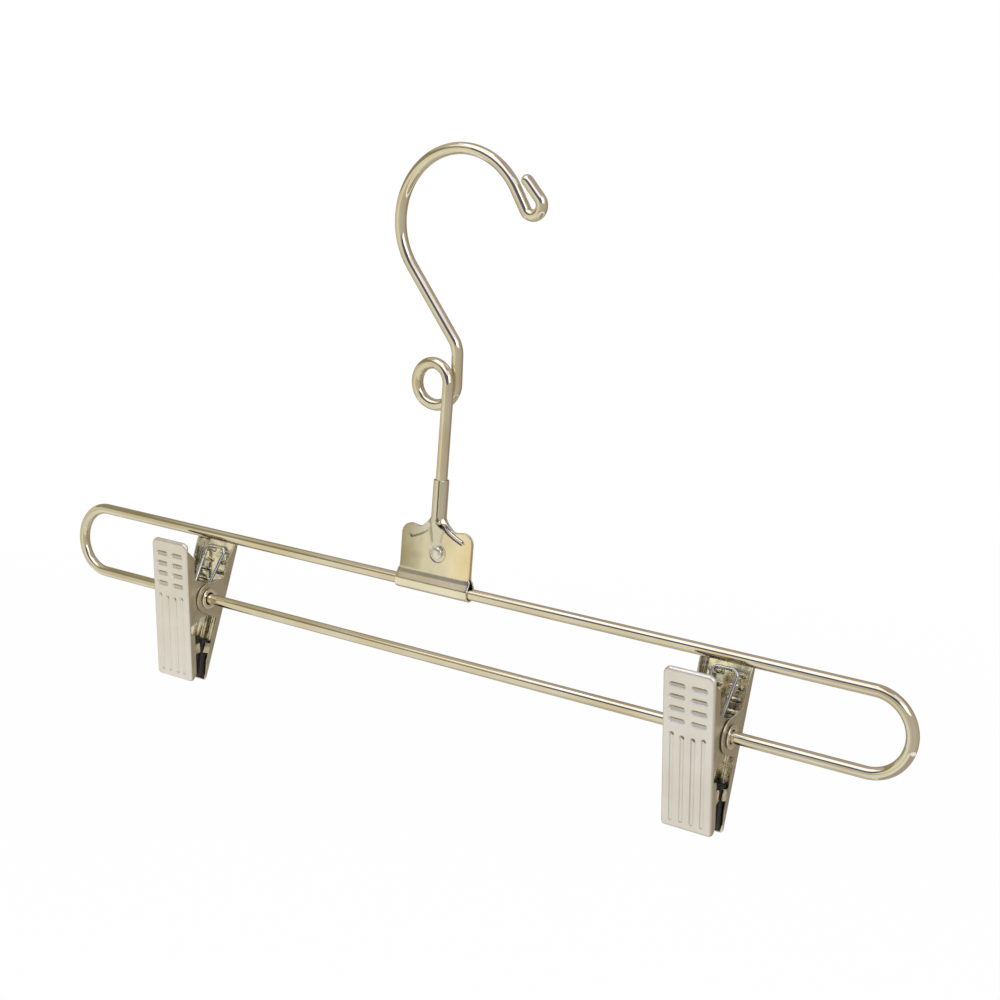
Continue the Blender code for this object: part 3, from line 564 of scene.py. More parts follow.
seat = PLATE_OUT + RIVET_PLAY
dome = [(RIVET_HEAD_R * math.cos(a), seat + RIVET_RIM + (RIVET_HEAD_HEIGHT - RIVET_RIM) * math.sin(a))
        for a in [math.pi / 2 * i / RIVET_STEPS for i in range(RIVET_STEPS)]]
tail = -seat - RIVET_TAIL_HEIGHT
profile = [(RIVET_SHANK_R, -seat), (RIVET_SHANK_R, seat), (RIVET_HEAD_R - RIVET_RIM, seat)] + dome
profile += [(0, seat + RIVET_HEAD_HEIGHT), (0, tail)]
profile += [(RIVET_TAIL_R - inset, tail + rise) for inset, rise in RIVET_TAIL_ROUND]
profile += [(RIVET_TAIL_R, -seat - RIVET_PLAY)]
rivet_steel = metal_finish("rivet_steel", RIVET_BRIGHT, RIVET_WORN, patch=0.002, rough=(0.20, 0.32),
                           grain=0.0003, depth=0.000004)
stand = Matrix.Translation((RIVET_X, 0, RIVET_Z)) @ Matrix.Rotation(math.pi / 2, 4, "X")
rivet = turned("saddle_rivet_domed", profile, 48, rivet_steel, stand)
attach(rivet, "frame")
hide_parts("saddle_rivet")


# ----------------------------------------------------------------------
# Hook
# The same 4.1 mm wire: an upset head inside the saddle, the shank, one full eye, a slanted stem, the round
# crown, and a tip folded back on itself. It turns freely in the saddle's neck.
HOOK_INSIDE_R = 0.0233
HOOK_OFFSET = -0.0007
STEM_SLOPE = math.radians(51.8)
STEM_BEND_R = 0.009
EYE_Z = -0.0790
EYE_R = 0.00745
EYE_PITCH = 0.0050
TIP_START = math.radians(31.5)
TIP_RUN = 0.0079
TIP_FOLD_R = 0.0034
TIP_FOLD_TURN = math.radians(191)
TIP_RETURN = 0.0062
TIP_CURL_R = 0.012
TIP_CURL_TURN = math.radians(7)
HEAD_R = 0.0024
HEAD_HEIGHT = 0.0016
HEAD_RIM = 0.85
HEAD_SHOULDER = 0.25
HEAD_PLAY = 0.0003
TIP_ROUND = math.radians(88)
TIP_ROUND_LENGTH = 0.98
TIP_ROUND_STEPS = 9
STEM_STEPS = 14
CROWN_STEPS = 110
FOLD_STEPS = 40
EYE_STEPS = 90


def hook_route():
    """The hook's line from its head to its tip, with the wire's swell at each point."""
    crown_r = HOOK_INSIDE_R + WIRE_R
    centre = Vector((HOOK_OFFSET, -HOOK_INSIDE_R))
    leave = math.pi + math.pi / 2 - STEM_SLOPE
    touch = centre + crown_r * Vector((math.cos(leave), math.sin(leave)))
    corner_z = touch.y + touch.x * math.tan(STEM_SLOPE)
    turn = math.pi / 2 - STEM_SLOPE
    bend_start = corner_z - STEM_BEND_R * math.tan(turn / 2)
    flat = bend((-STEM_BEND_R, bend_start), STEM_BEND_R, 0, turn, STEM_STEPS)
    crown = bend(centre, crown_r, leave, TIP_START, CROWN_STEPS)
    flat += runs(flat[-1], crown[0], 12)[1:] + crown

    # The fold leaves the crown straight, turns back outward, and ends on a slight curl
    heading = TIP_START - math.pi / 2
    spot = Vector(flat[-1]) + TIP_RUN * Vector((math.cos(heading), math.sin(heading)))
    fold = spot + TIP_FOLD_R * Vector((-math.sin(heading), math.cos(heading)))
    first = heading - math.pi / 2
    flat += runs(flat[-1], tuple(spot), 6)[1:]
    flat += bend(fold, TIP_FOLD_R, first, first + TIP_FOLD_TURN, FOLD_STEPS)
    heading += TIP_FOLD_TURN
    spot = Vector(flat[-1]) + TIP_RETURN * Vector((math.cos(heading), math.sin(heading)))
    curl = spot + TIP_CURL_R * Vector((-math.sin(heading), math.cos(heading)))
    first = heading - math.pi / 2
    flat += runs(flat[-1], tuple(spot), 5)[1:] + bend(curl, TIP_CURL_R, first, first + TIP_CURL_TURN, 6)
    heading += TIP_CURL_TURN

    head_top = NECK_BASE - HEAD_PLAY
    points = [(0, 0, head_top - share * HEAD_HEIGHT) for share in (1, 1 - HEAD_SHOULDER, HEAD_SHOULDER, 0)]
    swell = [HEAD_RIM * HEAD_R / WIRE_R, HEAD_R / WIRE_R, HEAD_R / WIRE_R, 1]
    points += [(0, 0, head_top + (EYE_Z - head_top) * i / 20) for i in range(1, 20)]
    for i in range(EYE_STEPS + 1):
        angle = math.tau * i / EYE_STEPS
        across = EYE_R * (math.cos(angle) - 1)
        points.append((across, EYE_PITCH * i / EYE_STEPS, EYE_Z + EYE_R * math.sin(angle)))
    last_rise = [(0, EYE_Z + (bend_start - EYE_Z) * i / 8) for i in range(1, 8)]
    for x, z in last_rise + flat:
        points.append((x, EYE_PITCH * (WIRE_R - z) / (WIRE_R - EYE_Z), z))
    swell += [1] * (len(points) - len(swell))
    end = Vector(points[-1])
    ahead = Vector((math.cos(heading), 0, math.sin(heading)))
    for i in range(1, TIP_ROUND_STEPS + 1):
        share = i * TIP_ROUND / TIP_ROUND_STEPS
        points.append(tuple(end + ahead * WIRE_R * TIP_ROUND_LENGTH * math.sin(share)))
        swell.append(math.cos(share))
    return points, swell


points, swell = hook_route()
hook_chrome = metal_finish("hook_chrome", CHROME, CHROME_WORN, patch=0.016, rough=(0.02, 0.06), grain=0.0012,
                           depth=0.0000010, drawn=(1, 1, 0.3))
hook = drawn_wire("hook_wire", points, WIRE_R, WIRE_SIDES, hook_chrome, swell)
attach(hook, "hook")
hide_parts("hook")


# ----------------------------------------------------------------------
# Clip jaws
# Four pressings of 0.7 mm steel sheet, two to a clip: a long tray with side flanges, round ears for the
# hollow rivet, claws for the pad, four rows of short ribs for the fingers and four long grooves below them.
# The face is satin, the inside bright with painted reflection in dark patches, the flanks darker with painted
# shade, and the deepest pressings dark with painted shade.
CLIP_X = {"right": 0.1084, "left": -0.1159}
CLIP_LEAN = {"right": math.radians(-1.4), "left": math.radians(-4.8)}
JAW_ANGLE = math.radians(11.3)
JAW_FACE = 0.0104
JAW_HALF = 0.00925
JAW_TOP = 0.0244
JAW_BOTTOM = -0.0325
JAW_CORNER_R = 0.00275
JAW_TIP_CORNER_R = 0.0015
JAW_BEND_R = 0.0013
JAW_OFFSET = 0.0005
INNER_EAR_R = 0.0054
OUTER_EAR_R = 0.0060
EAR_HOLE_R = 0.0033
JAW_RIM_R = 0.00012
JAW_EDGE_R = 0.0002
LIP_DEPTH = 0.0017
FLANGE_STUB = 0.0011
FLANGE_DEPTH = 0.0043
INNER_FLANGE_START = 0.0215
INNER_FLANGE_FULL = 0.0180
OUTER_FLANGE_START = 0.0235
OUTER_FLANGE_START_DEPTH = 0.0023
OUTER_FLANGE_FULL = 0.0170
EAR_SHOULDER = 0.0090
NOTCH_TOP = -0.0095
NOTCH_BOTTOM = -0.0128
LOWER_FLANGE_DEPTH = 0.0031
OUTER_HEEL = -0.0072
FLANGE_TAPER = 0.0030
CLAW_TOP = -0.0175
CLAW_BOTTOM = -0.0215
CLAW_PLAY = 0.0003
CLAW_SOFT = 0.0003
PAD_HALF = 0.0080
PAD_PLAY = 0.0003
RIB_ROWS = 4
RIB_TOP = 0.0188
RIB_SPACING = 0.0041
RIB_X = 0.0039
RIB_HALF = 0.0029
RIB_R = 0.00095
RIB_SHALLOW = 0.20
RIB_RAMP = 1.5
RIB_FLATNESS = 5
GROOVE_X = (0.00195, 0.0056)
GROOVE_TOP = (0.0016, 0.0022)
GROOVE_BOTTOM = -0.0300
GROOVE_R = 0.0008
RIB_DEPTH = 0.00085
GROOVE_DEPTH = 0.00042
DIMPLE_DEPTH = 0.00100
DIMPLE_R = 0.00090
DIMPLE_POWER = 1.2
# Spots pressed deeper than this get painted shade.
SHADED_DEPTH = 0.00068
JAW_CELL = 0.00022
JAW_SATIN = (0.90, 0.88, 0.86)
JAW_SATIN_WORN = (0.85, 0.82, 0.79)
# Painted shade for the deep pressings: a dark brown finish.
JAW_RECESS_SHADE = (0.46, 0.39, 0.27)
JAW_RECESS_SHADE_DEEP = (0.32, 0.27, 0.19)
JAW_BRIGHT = (0.98, 0.92, 0.74)
# Dark patches of the bright inside: painted reflection.
JAW_INSIDE_PAINTED_DARK = (0.44, 0.44, 0.41)
# Painted shade on the flanks: a darker finish for the jaw's sides.
JAW_SIDE_SHADE = (0.66, 0.62, 0.51)
JAW_SIDE_SHADE_DEEP = (0.56, 0.52, 0.42)


def jaw_front(half, top, bottom, corner, tip_corner):
    """Front view of a jaw, or of its hollow."""
    right = bend((half - tip_corner, bottom + tip_corner), tip_corner, -math.pi / 2, 0, 8)
    right += bend((half - corner, top - corner), corner, 0, math.pi / 2, 16)
    return right + [(-x, z) for x, z in reversed(right)]


def touch_angle(point, radius, side):
    """Where the line from a point touches a circle round the pivot, on one side of it."""
    return math.atan2(point[1], point[0]) + side * math.acos(radius / math.hypot(*point))


LIP = LIP_DEPTH - JAW_FACE
STUB = FLANGE_STUB - JAW_FACE
FULL = FLANGE_DEPTH - JAW_FACE
LOW = LOWER_FLANGE_DEPTH - JAW_FACE
BEYOND = [(2 * JAW_FACE, JAW_BOTTOM - SHEET), (2 * JAW_FACE, JAW_TOP + SHEET)]
LOW_START = [(LIP, JAW_TOP + SHEET), (LIP, JAW_TOP - 2 * SHEET), (STUB, JAW_TOP - JAW_CORNER_R),
             (STUB, INNER_FLANGE_START), (FULL, INNER_FLANGE_FULL)]
ROUND_START = [(LIP, JAW_TOP + SHEET)] + bend((LIP, JAW_TOP - (FULL - LIP)), FULL - LIP, math.pi / 2, 0, 12)
SLOPED_START = [(LIP, JAW_TOP + SHEET), (LIP, JAW_TOP), (OUTER_FLANGE_START_DEPTH - JAW_FACE,
                OUTER_FLANGE_START), (FULL, OUTER_FLANGE_FULL)]


def inner_side(top):
    """What is open inside the flange whose ear goes inside the other jaw's, seen from the side."""
    upper = touch_angle((FULL, EAR_SHOULDER), INNER_EAR_R, -1)
    lower = touch_angle((STUB, NOTCH_TOP), INNER_EAR_R, 1)
    edge = top + [(FULL, EAR_SHOULDER)] + bend((0, 0), INNER_EAR_R, upper, lower, 30)
    edge += [(STUB, NOTCH_TOP), (STUB, NOTCH_BOTTOM), (LOW, NOTCH_BOTTOM - SHEET)]
    edge += [(LOW, JAW_BOTTOM + FLANGE_TAPER), (STUB, JAW_BOTTOM), (STUB, JAW_BOTTOM - SHEET)]
    return edge + BEYOND


def outer_side(top):
    """The same for the flange whose ear goes outside the other jaw's."""
    upper = touch_angle((FULL, EAR_SHOULDER), OUTER_EAR_R, -1)
    lower = touch_angle((LOW, OUTER_HEEL), OUTER_EAR_R, 1)
    edge = top + [(FULL, EAR_SHOULDER)] + bend((0, 0), OUTER_EAR_R, upper, lower, 30)
    edge += [(LOW, OUTER_HEEL), (LOW, CLAW_BOTTOM - FLANGE_TAPER), (STUB, JAW_BOTTOM + SHEET)]
    return edge + [(STUB, JAW_BOTTOM - SHEET)] + BEYOND


def pressed_pattern(x, z):
    """How far the ribs and grooves are pressed in at each spot of the face."""
    pressed = 0
    for row in range(RIB_ROWS):
        height = RIB_TOP - RIB_SPACING * row
        aside = np.maximum(np.abs(np.abs(x) - RIB_X) - (RIB_HALF - RIB_R), 0)
        near = np.clip(np.hypot(aside, z - height) / RIB_R, 0, 1)
        ramp = RIB_SHALLOW + (1 - RIB_SHALLOW) * np.clip((z - height + RIB_R) / (RIB_RAMP * RIB_R), 0, 1)
        pressed = np.maximum(pressed, RIB_DEPTH * ramp * (1 - near ** RIB_FLATNESS))
    for spot, top in zip(GROOVE_X, GROOVE_TOP):
        along = z - np.clip(z, GROOVE_BOTTOM + GROOVE_R, top - GROOVE_R)
        near = np.clip(np.hypot(np.abs(x) - spot, along) / GROOVE_R, 0, 1)
        pressed = np.maximum(pressed, GROOVE_DEPTH * (1 - near * near))
        head = np.clip(np.hypot(np.abs(x) - spot, z - top + GROOVE_R) / DIMPLE_R, 0, 1)
        pressed = np.maximum(pressed, DIMPLE_DEPTH * (1 - head * head) ** DIMPLE_POWER)
    return pressed


JAW_FRONT = jaw_front(JAW_HALF, JAW_TOP, JAW_BOTTOM, JAW_CORNER_R, JAW_TIP_CORNER_R)
JAW_HOLLOW = jaw_front(JAW_HALF - SHEET, JAW_TOP - SHEET, 2 * JAW_BOTTOM, JAW_CORNER_R - SHEET,
                       JAW_TIP_CORNER_R)
PAD_HOLD = PAD_HALF + PAD_PLAY
CLAW_REACH = CLAW_BOTTOM * math.tan(JAW_ANGLE) - CLAW_PLAY
CLAW = [(JAW_HALF - SHEET, LOW - SHEET), (JAW_HALF, LOW - SHEET), (JAW_HALF, LOW),
        (PAD_HOLD + SHEET, CLAW_REACH), (PAD_HOLD, CLAW_REACH), (JAW_HALF - SHEET, LOW)]


def tray(x, y, z, front, face, radius):
    """A deep tray with a flat face and a rounded bend round it, open behind."""
    aside = outline_distance(x, z, front) + radius
    before = face - y + radius
    out = np.hypot(np.maximum(aside, 0), np.maximum(before, 0))
    return np.minimum(np.maximum(aside, before), 0) + out - radius


def jaw_form(top):
    """A jaw's form for the given top of its inner flange, and which of its finishes each spot has."""
    far = inner_side(top)
    near = outer_side(SLOPED_START)

    def distance(x, y, z):
        sunk = y - pressed_pattern(x, z)
        skin = tray(x, sunk, z, JAW_FRONT, -JAW_FACE, JAW_BEND_R)
        hollow = tray(x, sunk, z, JAW_HOLLOW, SHEET - JAW_FACE, JAW_BEND_R - SHEET)
        wall = soft_cut(skin, -hollow, JAW_RIM_R)
        open_side = np.where(x < 0, outline_distance(y, z, near), outline_distance(y, z, far))
        wall = soft_cut(wall, -open_side, JAW_EDGE_R)
        wall = soft_cut(wall, EAR_HOLE_R - np.hypot(y, z), JAW_EDGE_R)
        claw = soft_cut(outline_distance(np.abs(x), y, CLAW),
                        np.maximum(CLAW_BOTTOM - z, z - CLAW_TOP), JAW_EDGE_R)
        return soft_join(wall, claw, CLAW_SOFT)

    def finish_at(x, y, z):
        pressed = pressed_pattern(x, z)
        deep = -tray(x, y - pressed, z, JAW_FRONT, -JAW_FACE, JAW_BEND_R)
        # The deepest parts of the ribs and dimples get painted shade, a dark finish.
        outside = np.where(pressed > SHADED_DEPTH, RECESS_SHADE, SATIN)
        # The flanks get painted shade: a darker finish on the sides.
        outside = np.where(np.abs(x) > JAW_HALF - SHEET / 3, SIDE_SHADE, outside)
        claw = (y > LOW) & (z < CLAW_TOP + SHEET)
        return np.where(claw | (deep > SHEET / 2), BRIGHT, outside)

    return distance, finish_at


jaw_satin = metal_finish("jaw_satin", JAW_SATIN, JAW_SATIN_WORN, patch=0.014, rough=(0.34, 0.44),
                         grain=0.0003, depth=0.000004)
# The inside's dark patches are painted reflection of the darker parts round it.
jaw_bright = metal_finish("jaw_bright_inside", JAW_BRIGHT, JAW_INSIDE_PAINTED_DARK, patch=0.003, rough=(0.06, 0.16),
                          grain=0.0006, depth=0.000005)
# Painted shade in the deep pressings: a dark brown finish.
jaw_recess_shade = metal_finish("jaw_painted_recess_shade", JAW_RECESS_SHADE, JAW_RECESS_SHADE_DEEP, patch=0.001, rough=(0.35, 0.45),
                        grain=0.0003, depth=0.000004)
# Painted shade on the flanks: a darker finish for the jaw's sides.
jaw_side_shade = metal_finish("jaw_painted_side_shade", JAW_SIDE_SHADE, JAW_SIDE_SHADE_DEEP, patch=0.006, rough=(0.34, 0.44),
                         grain=0.0003, depth=0.000004)
JAW_FINISHES = [jaw_satin, jaw_bright, jaw_recess_shade, jaw_side_shade]
SATIN, BRIGHT, RECESS_SHADE, SIDE_SHADE = range(len(JAW_FINISHES))


def clip_place(side, half_turn):
    """Where a jaw and its pad stand: the rear ones are the front ones turned half round."""
    axis = Matrix.Translation((CLIP_X[side], 0, LOWER_Z)) @ Matrix.Rotation(CLIP_LEAN[side], 4, "X")
    shift = JAW_OFFSET if half_turn else -JAW_OFFSET
    turn = Matrix.Translation((shift, 0, 0)) @ Matrix.Rotation(half_turn, 4, "Z")
    return axis @ turn @ Matrix.Rotation(JAW_ANGLE, 4, "X")


for facing, half_turn, top in (("front", 0, LOW_START), ("rear", math.pi, ROUND_START)):
    distance, finish_at = jaw_form(top)
    jaw_skin = pressed_skin(distance, (-JAW_HALF, -JAW_FACE, JAW_BOTTOM), (JAW_HALF, OUTER_EAR_R, JAW_TOP),
                            JAW_CELL)
    for side in ("right", "left"):
        jaw = pressed_piece(f"{side}_{facing}_jaw_pressing", jaw_skin, JAW_FINISHES,
                            clip_place(side, half_turn), finish_at)
        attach(jaw, f"{side}_{facing}")
        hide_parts(f"{side}_{facing}_jaw")


# ----------------------------------------------------------------------
# Pads
# Wedges of black rubber that fill the jaws' tips, held by the claws at both sides. They are moulded, matte,
# and meet on the cloth that the clip holds.
PAD_TOP = -0.0168
PAD_BOTTOM = -0.0310
PAD_EDGE = 0.0007
PAD_GAP = 0.0003
PAD_ROUND = 0.00022
PAD_SHARP = math.radians(50)
GROOVE_ROOM = 0.0004
PAD_SEAT = SHEET + GROOVE_ROOM + PAD_PLAY - JAW_FACE
RUBBER = (0.018, 0.017, 0.016)
RUBBER_DUSTY = (0.06, 0.058, 0.052)


def rubber_finish():
    """Matte black rubber with a moulded grain and a little pale dust."""
    made, nodes, links = new_finish("pad_rubber")
    shader = nodes["Principled BSDF"]
    shader.inputs["Roughness"].default_value = 0.62
    place = nodes.new("ShaderNodeTexCoord")
    grain = clouds(nodes, links, place.outputs["Object"], 2600, 5)
    dust = tone_run(nodes, ((0.5, RUBBER), (0.72, RUBBER_DUSTY)))
    links.new(grain, dust.inputs["Fac"])
    links.new(dust.outputs["Color"], shader.inputs["Base Color"])
    relief = add_node(nodes, "ShaderNodeBump", {"Distance": 0.00006})
    links.new(grain, relief.inputs["Height"])
    links.new(relief.outputs["Normal"], shader.inputs["Normal"])
    return made


pad_rubber = rubber_finish()
middle = math.tan(JAW_ANGLE)
grip_edge = (PAD_BOTTOM + PAD_EDGE) * middle - PAD_GAP / 2
pad_section = [(PAD_SEAT, PAD_TOP), (PAD_TOP * middle - PAD_GAP / 2, PAD_TOP),
               (grip_edge, PAD_BOTTOM + PAD_EDGE), (grip_edge - PAD_EDGE, PAD_BOTTOM),
               (PAD_SEAT + PAD_EDGE, PAD_BOTTOM), (PAD_SEAT, PAD_BOTTOM + PAD_EDGE)]
for side in ("right", "left"):
    for facing, half_turn in (("front", 0), ("rear", math.pi)):
        bm = bmesh.new()
        near_end = bm.faces.new([bm.verts.new((-PAD_HALF, y, z)) for y, z in pad_section])
        grown = bmesh.ops.extrude_face_region(bm, geom=[near_end])
        moved = [item for item in grown["geom"] if isinstance(item, bmesh.types.BMVert)]
        bmesh.ops.translate(bm, vec=(2 * PAD_HALF, 0, 0), verts=moved)
        bmesh.ops.recalc_face_normals(bm, faces=bm.faces)
        bmesh.ops.bevel(bm, geom=bm.edges[:], offset=PAD_ROUND, segments=3, affect="EDGES", profile=0.5)
        bmesh.ops.transform(bm, matrix=clip_place(side, half_turn), verts=bm.verts)
        pad = built_piece(f"{side}_{facing}_pad_moulded", bm, pad_rubber, PAD_SHARP)
        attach(pad, f"{side}_{facing}")
        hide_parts(f"{side}_{facing}_pad")


# ----------------------------------------------------------------------
# Hollow rivets
# A short bright tube in each clip is its pivot and runs on the lower wire. Both ends are rolled outward over
# the jaws' ears, which holds the clip together.
TUBE_PLAY = 0.00035
TUBE_WALL = 0.0006
TUBE_EAR_PLAY = 0.0003
TUBE_ROLL = 0.0006
TUBE_FLARE = 0.0011
ROLL_R = 0.0003
MOUTH_R = 0.0005
ROLL_STEPS = 12
MOUTH_STEPS = 6
TUBE_STEPS = 64
TUBE_BORE_R = WIRE_R + TUBE_PLAY
TUBE_R = TUBE_BORE_R + TUBE_WALL
TUBE_NECK = JAW_HALF + JAW_OFFSET + TUBE_EAR_PLAY
TUBE_END = TUBE_NECK + TUBE_ROLL
FLARE_R = TUBE_R + TUBE_FLARE
TUBE_BRIGHT = (0.80, 0.78, 0.72)
tube_bright = metal_finish("tube_bright", TUBE_BRIGHT, JAW_BRIGHT, patch=0.004, rough=(0.08, 0.16),
                           grain=0.0004, depth=0.000004)
roll = [(FLARE_R - ROLL_R + ROLL_R * math.cos(a), TUBE_END - ROLL_R + ROLL_R * math.sin(a))
        for a in [math.pi / 2 - math.pi * i / ROLL_STEPS for i in range(ROLL_STEPS + 1)]]
mouth = [(TUBE_BORE_R + MOUTH_R - MOUTH_R * math.cos(a), TUBE_END - MOUTH_R + MOUTH_R * math.sin(a))
         for a in [math.pi / 2 * i / MOUTH_STEPS for i in range(MOUTH_STEPS + 1)]]
half_profile = mouth + roll + [(TUBE_R, TUBE_NECK)]
tube_profile = half_profile + [(r, -h) for r, h in reversed(half_profile)]
for side in ("right", "left"):
    stand = Matrix.Translation((CLIP_X[side], 0, LOWER_Z)) @ Matrix.Rotation(math.pi / 2, 4, "Y")
    tube = turned(f"{side}_pivot_tube_rolled", tube_profile, TUBE_STEPS, tube_bright, stand)
    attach(tube, f"{side}_slider")
    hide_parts(f"{side}_pivot_tube")


# ----------------------------------------------------------------------
# Torsion springs
# 1.3 mm spring wire: two coils round the hollow rivet, joined by a bridge that pushes on the rear handle,
# with a leg from each coil on the front handle.
SPRING_WIRE_R = 0.00065
SPRING_PITCH = 0.00166
SPRING_FULL_TURNS = 2
SPRING_BRIDGE_SPREAD = 0.0016
SPRING_BRIDGE_HEIGHT = 0.0203
SPRING_LEG_HEIGHT = 0.0172
SPRING_CORNER_R = 0.0022
SPRING_PLAY = 0.0003
SPRING_COIL_R = TUBE_R + SPRING_PLAY + SPRING_WIRE_R
SPRING_COIL_END = JAW_HALF - SHEET - JAW_OFFSET - SPRING_PLAY - SPRING_WIRE_R
SPRING_SIDES = 20
SPRING_COIL_STEPS = 96
SPRING_BEND_STEPS = 14
SPRING_ARM_STEPS = 20
SPRING_STEEL = (0.74, 0.76, 0.77)
SPRING_STEEL_DARK = (0.55, 0.57, 0.60)


def spring_halves():
    """The line of half a spring on its right side: from the bridge's middle to the coil, and on to the leg."""
    off_face = SHEET + SPRING_PLAY + SPRING_WIRE_R
    lie = Vector((math.cos(JAW_ANGLE), -math.sin(JAW_ANGLE)))
    rise = Vector((math.sin(JAW_ANGLE), math.cos(JAW_ANGLE)))
    bridge = (JAW_FACE - off_face) * lie + SPRING_BRIDGE_HEIGHT * rise
    leg = (JAW_FACE - off_face) * lie + SPRING_LEG_HEIGHT * rise
    start = touch_angle(bridge, SPRING_COIL_R, -1)
    end = math.pi - touch_angle(leg, SPRING_COIL_R, -1)
    sweep = (start - end) % math.tau + SPRING_FULL_TURNS * math.tau
    coil_start = SPRING_COIL_END - SPRING_PITCH * sweep / math.tau
    coil = []
    for i in range(SPRING_COIL_STEPS + 1):
        angle = start - sweep * i / SPRING_COIL_STEPS
        x = coil_start + (SPRING_COIL_END - coil_start) * i / SPRING_COIL_STEPS
        coil.append(Vector((x, SPRING_COIL_R * math.cos(angle), SPRING_COIL_R * math.sin(angle))))
    corner = Vector((coil_start + SPRING_BRIDGE_SPREAD, *bridge))
    across = Vector((0, *bridge))
    back = (across - corner).normalized()
    on = (coil[0] - corner).normalized()
    half_angle = back.angle(on) / 2
    centre = corner + (back + on).normalized() * SPRING_CORNER_R / math.sin(half_angle)
    first = corner + back * SPRING_CORNER_R / math.tan(half_angle) - centre
    last = corner + on * SPRING_CORNER_R / math.tan(half_angle) - centre
    bent = [centre + first.slerp(last, i / SPRING_BEND_STEPS) * SPRING_CORNER_R
            for i in range(SPRING_BEND_STEPS + 1)]
    tip = Vector((coil[-1].x, -leg.x, leg.y))
    shares = [i / SPRING_ARM_STEPS for i in range(1, SPRING_ARM_STEPS + 1)]
    arm = [bent[-1].lerp(coil[0], share) for share in shares]
    return [across] + bent + arm, coil + [coil[-1].lerp(tip, share) for share in shares], bridge, leg


spring_steel = metal_finish("spring_steel", SPRING_STEEL, SPRING_STEEL_DARK, patch=0.003, rough=(0.12, 0.2),
                            grain=0.0003, depth=0.000004)
bridge_half, leg_half, bridge_top, leg_top = spring_halves()
for side in ("right", "left"):
    axis = Matrix.Translation((CLIP_X[side], 0, LOWER_Z)) @ Matrix.Rotation(CLIP_LEAN[side], 4, "X")
    across = [Vector((-p.x, p.y, p.z)) for p in reversed(bridge_half)] + bridge_half[1:]
    bridge = drawn_wire(f"{side}_spring_bridge", [axis @ p for p in across], SPRING_WIRE_R, SPRING_SIDES,
                        spring_steel)
    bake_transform(bridge)
    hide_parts(f"{side}_torsion_spring")
    for mirror, hand in ((1, "a"), (-1, "b")):
        line = [axis @ Vector((mirror * p.x, p.y, p.z)) for p in leg_half]
        coil = drawn_wire(f"{side}_spring_coil_{hand}", line, SPRING_WIRE_R, SPRING_SIDES, spring_steel)
        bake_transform(coil)


# ----------------------------------------------------------------------
# Studio
# A plain white room with a pale floor well below the hanging part, soft lamps, and cards outside the view
# that only the bright metal sees: warm walls, a dark blue card in front, bright windows high up and beige
# cards below.
FLOOR_Z = -0.46
FLOOR_HALF = 6
CARD_STEPS = 24
MIDDLE = Vector((0.0, 0.0, -0.13))


def seen_rays(nodes, links):
    """One for rays of the camera, of gloss and through glass, and zero for those that only light the part."""
    rays = nodes.new("ShaderNodeLightPath")
    seen = rays.outputs["Is Camera Ray"]
    for kind in ("Is Glossy Ray", "Is Transmission Ray"):
        either = add_node(nodes, "ShaderNodeMath", operation="MAXIMUM")
        links.new(seen, either.inputs[0])
        links.new(rays.outputs[kind], either.inputs[1])
        seen = either.outputs[0]
    return seen


def floor_finish():
    """White floor: nearly the background's white, with the part's shadow still on it."""
    made, nodes, links = new_finish("studio_floor")
    nodes.remove(nodes["Principled BSDF"])
    matte = add_node(nodes, "ShaderNodeBsdfDiffuse", {"Color": (0.9, 0.9, 0.9, 1)})
    glow = add_node(nodes, "ShaderNodeEmission", {"Color": (1, 1, 1, 1), "Strength": 1.0})
    place = nodes.new("ShaderNodeTexCoord")
    away = add_node(nodes, "ShaderNodeVectorMath", operation="LENGTH")
    links.new(place.outputs["Object"], away.inputs[0])
    fade = add_node(nodes, "ShaderNodeMapRange",
                    {"From Min": 0.5, "From Max": 2.0, "To Min": 0.86, "To Max": 1.0},
                    interpolation_type="SMOOTHSTEP")
    links.new(away.outputs["Value"], fade.inputs["Value"])
    share = add_node(nodes, "ShaderNodeMath", operation="MULTIPLY")
    links.new(fade.outputs["Result"], share.inputs[1])
    links.new(seen_rays(nodes, links), share.inputs[0])
    mix = nodes.new("ShaderNodeMixShader")
    links.new(share.outputs[0], mix.inputs[0])
    links.new(matte.outputs[0], mix.inputs[1])
    links.new(glow.outputs[0], mix.inputs[2])
    links.new(mix.outputs[0], nodes["Material Output"].inputs["Surface"])
    return made


corners = [(x * FLOOR_HALF, y * FLOOR_HALF, FLOOR_Z) for x, y in ((-1, -1), (1, -1), (1, 1), (-1, 1))]
mesh = bpy.data.meshes.new("studio_floor")
mesh.from_pydata(corners, [], [tuple(range(len(corners)))])
mesh.materials.append(floor_finish())
floor = placed("studio_floor", mesh)


def glow_finish(name, colour):
    """A card of one even colour, as the metal sees it."""
    made, nodes, links = new_finish(name)
    nodes.remove(nodes["Principled BSDF"])
    glow = add_node(nodes, "ShaderNodeEmission", {"Color": (*colour, 1), "Strength": 1.0})
    links.new(glow.outputs[0], nodes["Material Output"].inputs["Surface"])
    return made


